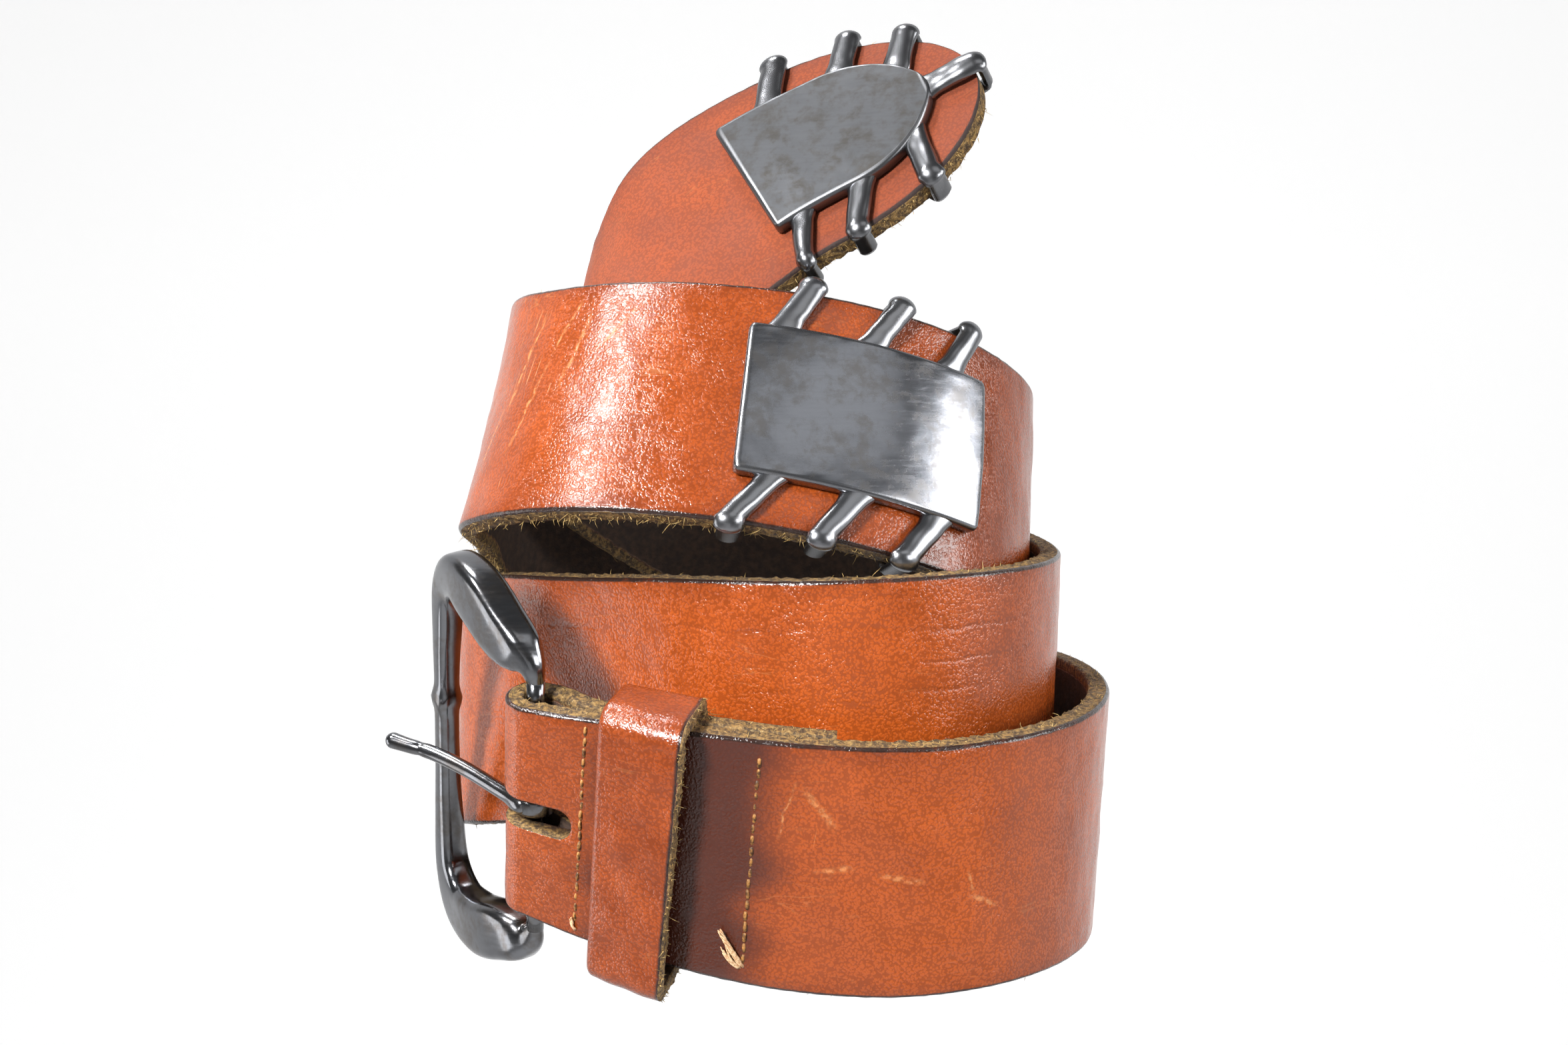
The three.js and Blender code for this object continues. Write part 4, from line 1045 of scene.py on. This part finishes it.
def slab_rings(start, length, half_rule, seed):
    """Sections across the slab. At x from an end, with x < r, an edge of radius r has sunk by
    r - sqrt(r^2 - (r - x)^2). The face is crowned as 1 - (w / half)^2, and cast a little uneven."""
    steps = np.r_[0.0, 0.06, 0.16, 0.3, 0.5, 0.7, 1.0, 1.4]
    run = np.r_[steps, np.linspace(2, length - 2, 60), length - steps[::-1]]
    from_end = np.minimum(run, length - run)

    def sunk(radius):
        return radius - np.sqrt(radius**2 - np.clip(radius - from_end, 0, radius) ** 2)
    half = np.maximum(half_rule(run) - sunk(PLATE_CORNER), 0.4)[:, None]
    across = np.linspace(-1, 1, FACE_COLUMNS)
    arc = np.radians(np.linspace(0, 90, EDGE_COLUMNS + 1))[1:]
    edge = np.minimum(PLATE_EDGE, half * 0.8)
    top = PLATE_BACK + PLATE_THICK - 0.85 * sunk(PLATE_EDGE)[:, None]
    crown = PLATE_CROWN * (1 - across**2) * np.clip(half / PLATE_HALF, 0, 1) ** 2
    face_w, run_column = across * (half - edge), run[:, None]
    uneven = 0.03 * ripple(run_column, face_w, 9, seed) + 0.012 * ripple(run_column, face_w, 3, seed + 1)
    face_h = top + crown + uneven
    edge_w, edge_h = half - edge + edge * np.sin(arc), top - edge * (1 - np.cos(arc))
    low = np.full_like(half, PLATE_BACK)
    under_w = np.linspace(1, -1, 9) * (half - 0.2)
    w = np.hstack([face_w, edge_w, half, under_w, -half, -edge_w[:, ::-1]])
    h = np.hstack([face_h, edge_h, low + 0.25, low + 0 * under_w, low + 0.25, edge_h[:, ::-1]])
    return on_strap(start + run[:, None], w, np.maximum(h, PLATE_BACK))


print("an ornament's face stands", PLATE_BACK + PLATE_THICK + PLATE_CROWN, "mm above the strip's middle")

# %% One claw


def claw_rings(root, edge, beyond, seed):
    """A claw goes from its root to the strip's edge, round it and a little way back. root and edge
    are places (s, w) and beyond points square to the edge. The section is flatter below than on
    its back. It swells where the claw leaves the slab, is fullest in the bend, and thins out
    behind the strip."""
    root, edge, beyond = (np.array(v, float) for v in (root, edge, beyond))
    side = GAP + CLAW_BELLY[1]
    share = np.linspace(0, 1, 20, endpoint=False)
    bend = np.linspace(0, np.pi / 2, 9)
    grip = np.linspace(0, 1, 9)[1:]
    turn = np.r_[0 * share, bend, np.pi / 2 + bend, np.pi + 0 * grip]
    place = np.vstack([
        root + (edge - root) * share[:, None], edge + beyond * side * np.sin(bend)[:, None],
        edge + beyond * side * np.cos(bend)[:, None], edge - beyond * CLAW_GRIP * grip[:, None]])
    level, half = PLATE_BACK + CLAW_BELLY[0], THICK / 2
    height = np.r_[level - 0.5 * (1 - share) ** 2 - (level - half - side) * share**2,
                   half + side * np.cos(bend), -half - side * np.sin(bend), -half - side + 0 * grip]
    count = len(place)
    closing = np.sqrt(np.clip(1 - np.clip(1 - (count - 1 - np.arange(count)) / 7, 0, 1) ** 2, 0.12, 1))
    to_edge = np.r_[share, np.ones(count - len(share))]
    foot = np.exp(-((to_edge * np.linalg.norm(edge - root) - 2.1) / 1.1) ** 2)
    bent = to_edge**3
    behind = np.clip((turn - 0.9) / 0.8, 0, 1) ** 2
    belly, back = (first + (last - first) * bent for first, last in (CLAW_BELLY, CLAW_BACK))
    back = back - 0.85 * behind
    swell = closing * (1 + 0.03 * ripple(np.arange(count), 0, 9, seed))
    x, y = oblong(swell, swell, 2.3 - 0.3 * bent, 28)
    x = x * CLAW_HALF * (1 + 0.18 * foot - 0.35 * behind)[:, None]
    y = y * np.where(y > 0, back[:, None], belly[:, None])
    outwards = y * np.sin(turn)[:, None]
    s = place[:, :1] - beyond[1] * x + beyond[0] * outwards
    w = place[:, 1:] + beyond[0] * x + beyond[1] * outwards
    return on_strap(s, w, height[:, None] + y * np.cos(turn)[:, None])


print("a claw grips", CLAW_GRIP, "mm behind the strip and is", 2 * CLAW_HALF, "mm wide")

# %% Where an ornament is worn


def worn_places(parts):
    """The mark worn: 1 on the claws, which rub most, and 0.8 on the edges of the slab."""
    slab = np.zeros(parts[0].shape[:2])
    slab[:END_RINGS] = slab[-END_RINGS:] = 0.8
    slab[:, FACE_COLUMNS:FACE_COLUMNS + EDGE_COLUMNS] = slab[:, -EDGE_COLUMNS:] = 0.8
    return {"worn": np.concatenate([slab.ravel()] + [np.ones(part[..., 0].size) for part in parts[1:]])}


print("worn columns of a slab:", EDGE_COLUMNS, "on each side")

# %% The four-cornered ornament
WAIST_CLAWS = (  # side, and the run from the slab's start to the root and to the edge crossing
    (1, 3.4, 7.6), (1, 14.8, 19.6), (1, 26.2, 30.8), (-1, 6.4, 0.4), (-1, 17.6, 12.4), (-1, 28.6, 23.4))
waist_parts = [slab_rings(WAIST_START, WAIST_LENGTH, lambda run: np.full_like(run, PLATE_HALF), 61)]
for i, (side, root_run, edge_run) in enumerate(WAIST_CLAWS):
    root = (WAIST_START + root_run, side * (PLATE_HALF - 2))
    waist_parts.append(claw_rings(root, (WAIST_START + edge_run, side * HALF_WIDTH), (0, side), 70 + i))
waist_ornament = joined(
    "waist_ornament", waist_parts, plate_metal, "belt", "ornament_gunmetal", worn_places(waist_parts))
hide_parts("waist_plate")

# %% The pointed ornament
TIP_CLAWS = (  # side, root before the tip, root off the middle, degrees round the tip, run before it
    (1, 28.8, 9.0, 0, -1.0), (1, 18.4, 8.5, 27, 0), (1, 10.6, 4.6, 49, 0), (-1, 29.6, 9.0, 0, 7.6),
    (-1, 19.6, 8.5, 5, 0), (-1, 11.4, 4.6, 33, 0), (1, 9.0, 0.0, 90, 0))


def pointed_half(run):
    """Half the slab's width: constant, then R cos(asin(x / R)) - (R - half) with x the run past the
    straight part and R the arcs' radius."""
    radius = (PLATE_HALF**2 + TIP_OGIVE**2) / (2 * PLATE_HALF)
    past = np.clip(run - TIP_STRAIGHT, 0, TIP_OGIVE)
    return np.sqrt(radius**2 - past**2) - (radius - PLATE_HALF)


tip_start = STRAP_LENGTH - TIP_FROM_END
tip_parts = [slab_rings(tip_start, TIP_STRAIGHT + TIP_OGIVE - TIP_BLUNT, pointed_half, 63)]
for i, (side, root_from_tip, root_w, degrees, before) in enumerate(TIP_CLAWS):
    sine, cosine = math.sin(math.radians(degrees)), math.cos(math.radians(degrees))
    edge_s = STRAP_LENGTH - TIP_LENGTH + (TIP_LENGTH * sine if degrees else -before)
    square = unit(np.array([sine / TIP_LENGTH, side * cosine / HALF_WIDTH]))
    tip_parts.append(claw_rings(
        (STRAP_LENGTH - root_from_tip, side * root_w), (edge_s, side * HALF_WIDTH * cosine), square, 80 + i))
tip_ornament = joined(
    "tip_ornament", tip_parts, tip_metal, "belt", "ornament_gunmetal", worn_places(tip_parts))
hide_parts("tip_plate")

# %% [markdown]
# ## Stitches, a thread's end and fibres
# Two rows of stitches hold the fold. Each stitch is a short thick capsule of thread, half sunk
# into the leather. At a row's lower end the thread has come loose. The raw edges shed fine
# fibres, and a single thin bent tube with three sides is enough for each of them.

# %% Thread and fibre finishes


def plain_finish(name, first, second, scale, rough):
    """Goes between two colours by fine noise. Thread and loose fibres need no more."""
    material, _, shader, place, _ = new_finish(name)
    strands = levels(noise(place, scale), 0.35, 0.65)
    fill(shader, {"Base Color": tint(strands, first, second), "Roughness": rough})
    set_relief(shader, strands, 0.05 * MM, 0.6)
    return material


thread_finish = plain_finish("waxed thread", (0.07, 0.028, 0.009), (0.44, 0.20, 0.05), 1500.0, 0.5)
tail_finish = plain_finish("bare thread", (0.55, 0.30, 0.14), (0.85, 0.60, 0.36), 3000.0, 0.7)
fibre_finish = plain_finish("hide fibres", (0.26, 0.16, 0.05), (0.60, 0.41, 0.15), 800.0, 0.8)
print("finishes", thread_finish.name, tail_finish.name, fibre_finish.name)

# %% Many bent tubes at once


def tubes(paths, radii, sides):
    """Points and faces of many tubes. paths has the shape (tubes, rings, 3) and radii (tubes,
    rings). Each ring is a circle square to its path."""
    ahead = unit(np.gradient(paths, axis=1))
    helper = np.where(np.abs(ahead[..., 2:]) < 0.8, (0.0, 0.0, 1.0), (1.0, 0.0, 0.0))
    side = unit(np.cross(ahead, helper))
    up = np.cross(ahead, side)
    turn = np.linspace(0, 2 * np.pi, sides, endpoint=False)[:, None]
    circle = side[:, :, None] * np.cos(turn) + up[:, :, None] * np.sin(turn)
    points = paths[:, :, None] + radii[:, :, None, None] * circle
    count, rings = radii.shape
    one = grid_faces(rings, sides, False)
    faces = [[k + tube * rings * sides for k in face] for tube in range(count) for face in one]
    return points.reshape(-1, 3), faces


print("a tube of 9 rings of 8 has", len(grid_faces(9, 8, False)), "faces")

# %% The stitches
STITCH_PITCH, STITCH_GAP, STITCH_SINK, THREAD_RADIUS = 1.55, 0.22, 0.32, 0.25
STITCH_RINGS = 9
STITCH_ROWS = (  # s at the top and at the bottom, w at the top and at the bottom
    (8.82, 8.42, 15.4, -15.0), (31.1, 31.7, 15.0, -14.6))
random = np.random.default_rng(7)
stitch_paths = []
for s_top, s_bottom, w_top, w_bottom in STITCH_ROWS:
    count = int((w_top - w_bottom) / STITCH_PITCH)
    start_w = w_top - STITCH_PITCH * np.arange(count)
    row_s = np.interp(start_w, [w_bottom, w_top], [s_bottom, s_top]) + random.normal(0, 0.05, count)
    slant = random.normal(0.06, 0.09, count)
    reach = np.linspace(0, 1, STITCH_RINGS)
    s = row_s[:, None] + slant[:, None] * (reach - 0.5)
    w = start_w[:, None] - reach * (STITCH_PITCH - STITCH_GAP)
    arch = 0.36 * np.sqrt(np.clip(1 - (2 * reach - 1) ** 2, 0, 1)) - STITCH_SINK
    arch = arch + random.normal(0, 0.05, (count, 1))
    stitch_paths += [on_strap(s, w, THICK / 2 + arch), on_strap(s, w, -LAYER_STEP - THICK / 2 - arch)]
stitch_paths = np.concatenate(stitch_paths)
end_shape = np.sqrt(np.clip(1 - (2 * np.linspace(0.04, 0.96, STITCH_RINGS) - 1) ** 8, 0.2, 1))
stitch_radii = np.tile(THREAD_RADIUS * end_shape, (len(stitch_paths), 1))
new_piece("stitches", *tubes(stitch_paths, stitch_radii, 8), thread_finish, "belt", "strap_leather")

# %% The loose thread
TAIL_RINGS, TAIL_RADIUS = 14, 0.13
TAILS = (  # the loose end's course as (s, w, h) in three places, strands, their spread and the twist
    ((31.7, -14.7, 1.4), (30.2, -12.2, 2.5), (28.5, -9.7, 2.3), 7, 0.14, 1.0),
    ((31.3, -14.9, 1.5), (30.0, -14.0, 2.1), (29.2, -12.4, 2.0), 10, 0.5, 0.3),
    ((8.42, -15.2, 1.4), (8.3, -14.3, 1.9), (7.7, -13.4, 1.8), 4, 0.15, 0.6))
tail_paths = []
for first, middle, last, strands, spread, twist in TAILS:
    t = np.linspace(0, 1, TAIL_RINGS)[None, :, None]
    bent = np.array(first) * (1 - t) ** 2 + 2 * np.array(middle) * t * (1 - t) + np.array(last) * t**2
    around = random.uniform(0, 2 * np.pi, (strands, 1, 1)) + 9 * twist * t
    twisted = 0.22 * twist * np.concatenate([np.cos(around), 0.4 * np.cos(around), np.sin(around)], -1)
    apart = random.normal(0, spread, (strands, 1, 3)) * (0.2 + 0.8 * t**2) * (1, 1, 0.35)
    tail_paths.append(on_strap(*np.moveaxis(bent + apart + twisted, -1, 0)))
tail_paths = np.concatenate(tail_paths)
thinning = 1.15 - 0.6 * np.linspace(0, 1, TAIL_RINGS) ** 3
tail_radii = np.tile(TAIL_RADIUS * thinning, (len(tail_paths), 1))
new_piece("thread_tail", *tubes(tail_paths, tail_radii, 6), tail_finish, "belt", "strap_leather")

# %% Fibres on the raw edges
FIBRE_EDGES = (  # first s, last s, side, fibres, mean length in mm
    (-52, 12, 1, 150, 0.34), (22, 120, 1, 190, 0.30), (120, 470, 1, 220, 0.30), (470, 560, -1, 620, 0.48),
    (22, 470, -1, 240, 0.30), (560, 700, -1, 90, 0.30), (470, 700, 1, 200, 0.34), (700, 772, -1, 360, 0.42),
    (700, 772, 1, 110, 0.30))
FIBRE_TAPER = (1.0, 0.9, 0.65, 0.2)


def bent_fibres(root, aim, mean):
    """Courses root + length (aim t + curl t^2) of random lengths and curls, for t from 0 to 1."""
    length, curl = random.gamma(3.0, mean / 3.0, len(root)), random.normal(0, 0.6, (len(root), 3))
    t = np.linspace(0, 1, len(FIBRE_TAPER))[None, :, None]
    return root[:, None] + length[:, None, None] * (aim[:, None] * t + curl[:, None] * t**2)


fibre_paths = []
for first, last, side, count, mean in FIBRE_EDGES:
    at = random.uniform(first, last, count)
    ring = np.clip(np.searchsorted(path_s, at), 0, len(path) - 1)
    depth = random.uniform(-1.0, 0.55, count) * path_thick[ring]
    reach = side * (path_half[ring] - 0.1)
    root = path[ring] + path_across[ring] * reach[:, None] + path_out[ring] * depth[:, None]
    to_next_ring = path[np.minimum(ring + 1, len(path) - 1)] - path[ring]
    root = root + to_next_ring * random.uniform(0, 1, (count, 1))
    aim = unit(path_across[ring] * side + random.normal(0, 0.55, (count, 3)))
    fibre_paths.append(bent_fibres(root, aim, mean))
print(sum(len(paths) for paths in fibre_paths), "fibres on the strip")

# %% Fibres on the keeper's raw edge
KEEPER_FIBRES, KEEPER_FIBRE_MEAN = 420, 0.33
edge_column = int(np.argmax(run * is_cut))
edge_points = keeper_points[:, edge_column - 3:edge_column + 3]
root = edge_points[tuple(random.integers(0, size, KEEPER_FIBRES) for size in edge_points.shape[:2])]
along = axes_at(np.float64(KEEPER["start"] + KEEPER["width"]))[0]
aim = unit(along + random.normal(0, 0.6, (KEEPER_FIBRES, 3)))
fibre_paths = np.concatenate([*fibre_paths, bent_fibres(root, aim, KEEPER_FIBRE_MEAN)])
fibre_radii = random.uniform(0.035, 0.08, (len(fibre_paths), 1)) * np.array(FIBRE_TAPER)
new_piece("edge_fibres", *tubes(fibre_paths, fibre_radii, 3), fibre_finish, "belt", "strap_leather")

# %% [markdown]
# ## The paper, the lamps and the camera's view
# The belt floats before white paper that curves up behind it, so nothing but the belt has an
# edge. Only the paper far behind the belt glows, since a bright floor would lay a haze over the
# waxed leather. A small lamp from the front left gives the shadows, and a tall one from the left
# the bright band on the upper turn. Each of the other lamps and cards stands where one side of
# the belt mirrors it.

# %% The paper
FLOOR_Z, PAPER_HALF, NEAR_Y, BEND_Y, BEND_RADIUS, WALL_TOP = -0.6, 3.0, -2.5, 0.5, 0.8, 3.0
GLOW_Y, GLOW = (0.2, 1.2), 0.56  # where the glow begins and is full, and its strength
turn = np.linspace(0, np.pi / 2, 24)
profile_y = np.r_[NEAR_Y, BEND_Y + BEND_RADIUS * np.sin(turn), BEND_Y + BEND_RADIUS]
profile_z = np.r_[FLOOR_Z, FLOOR_Z + BEND_RADIUS * (1 - np.cos(turn)), WALL_TOP]
corners = np.stack(np.broadcast_arrays(
    np.array([[-PAPER_HALF, PAPER_HALF]]), profile_y[:, None], profile_z[:, None]), -1)
k = np.arange(len(profile_y) - 1)[:, None] * 2
paper_mesh = bpy.data.meshes.new("paper")
paper_mesh.from_pydata(corners.reshape(-1, 3).tolist(), [], (k + [0, 1, 3, 2]).tolist())
paper_mesh.polygons.foreach_set("use_smooth", np.ones(len(paper_mesh.polygons), bool))
paper_finish, _, paper_shader, paper_place, _ = new_finish("pale paper")
fill(paper_shader, {"Base Color": (0.6, 0.6, 0.6, 1), "Roughness": 0.9, "Emission Color": (1, 1, 1, 1),
                    "Emission Strength": levels(parts_of(paper_place)["Y"], *GLOW_Y, 0.0, GLOW)})
paper_mesh.materials.append(paper_finish)
paper = bpy.data.objects.new("paper", paper_mesh)
bpy.context.scene.collection.objects.link(paper)
print("paper", len(paper_mesh.polygons), "faces")

# %% The lamps
AIM = np.array((0, 0, CAMERA_HEIGHT * MM))
LAMPS = (  # name, direction from the belt, metres away, width, height, watts
    ("front lamp", (-0.50, -0.80, 0.34), 0.7, 0.13, 0.13, 8.4),
    ("tall lamp", (-0.62, -0.31, 0.72), 0.6, 0.09, 0.15, 2.6),
    ("top lamp", (-0.26, 0.155, 0.95), 0.7, 0.14, 0.14, 2.4),
    ("right lamp", (0.90, -0.18, 0.27), 0.8, 0.30, 0.34, 3.2),
    ("front card", (0.42, -0.60, 0.68), 0.9, 0.55, 0.40, 0.6),
    ("low card", (-0.10, -0.90, -0.42), 0.9, 0.50, 0.40, 0.22),
    ("left card", (-0.96, 0.06, -0.27), 0.9, 0.42, 0.55, 1.9),
    ("side lamp", (0.80, -0.60, 0.08), 0.9, 0.30, 0.30, 2.2),
    ("right card", (0.95, -0.05, -0.25), 0.9, 0.60, 0.60, 0.7))
for name, direction, distance, width, height, watts in LAMPS:
    light = bpy.data.lights.new(name, "AREA")
    light.shape = "RECTANGLE"
    light.size, light.size_y = width, height
    light.energy = watts
    lamp = bpy.data.objects.new(name, light)
    towards = unit(np.array(direction))
    lamp.location = AIM + towards * distance
    lamp.rotation_euler = Vector(towards).to_track_quat("Z", "Y").to_euler()
    bpy.context.scene.collection.objects.link(lamp)
    print(name, watts, "W")

# %% The room's own light
ROOM_LIGHT = 0.12
world = bpy.data.worlds.new("room")
world.use_nodes = True
fill(world.node_tree.nodes["Background"], {"Color": (1, 1, 1, 1), "Strength": ROOM_LIGHT})
bpy.context.scene.world = world
bpy.context.scene.view_settings.view_transform = "Standard"
print("room light", ROOM_LIGHT)
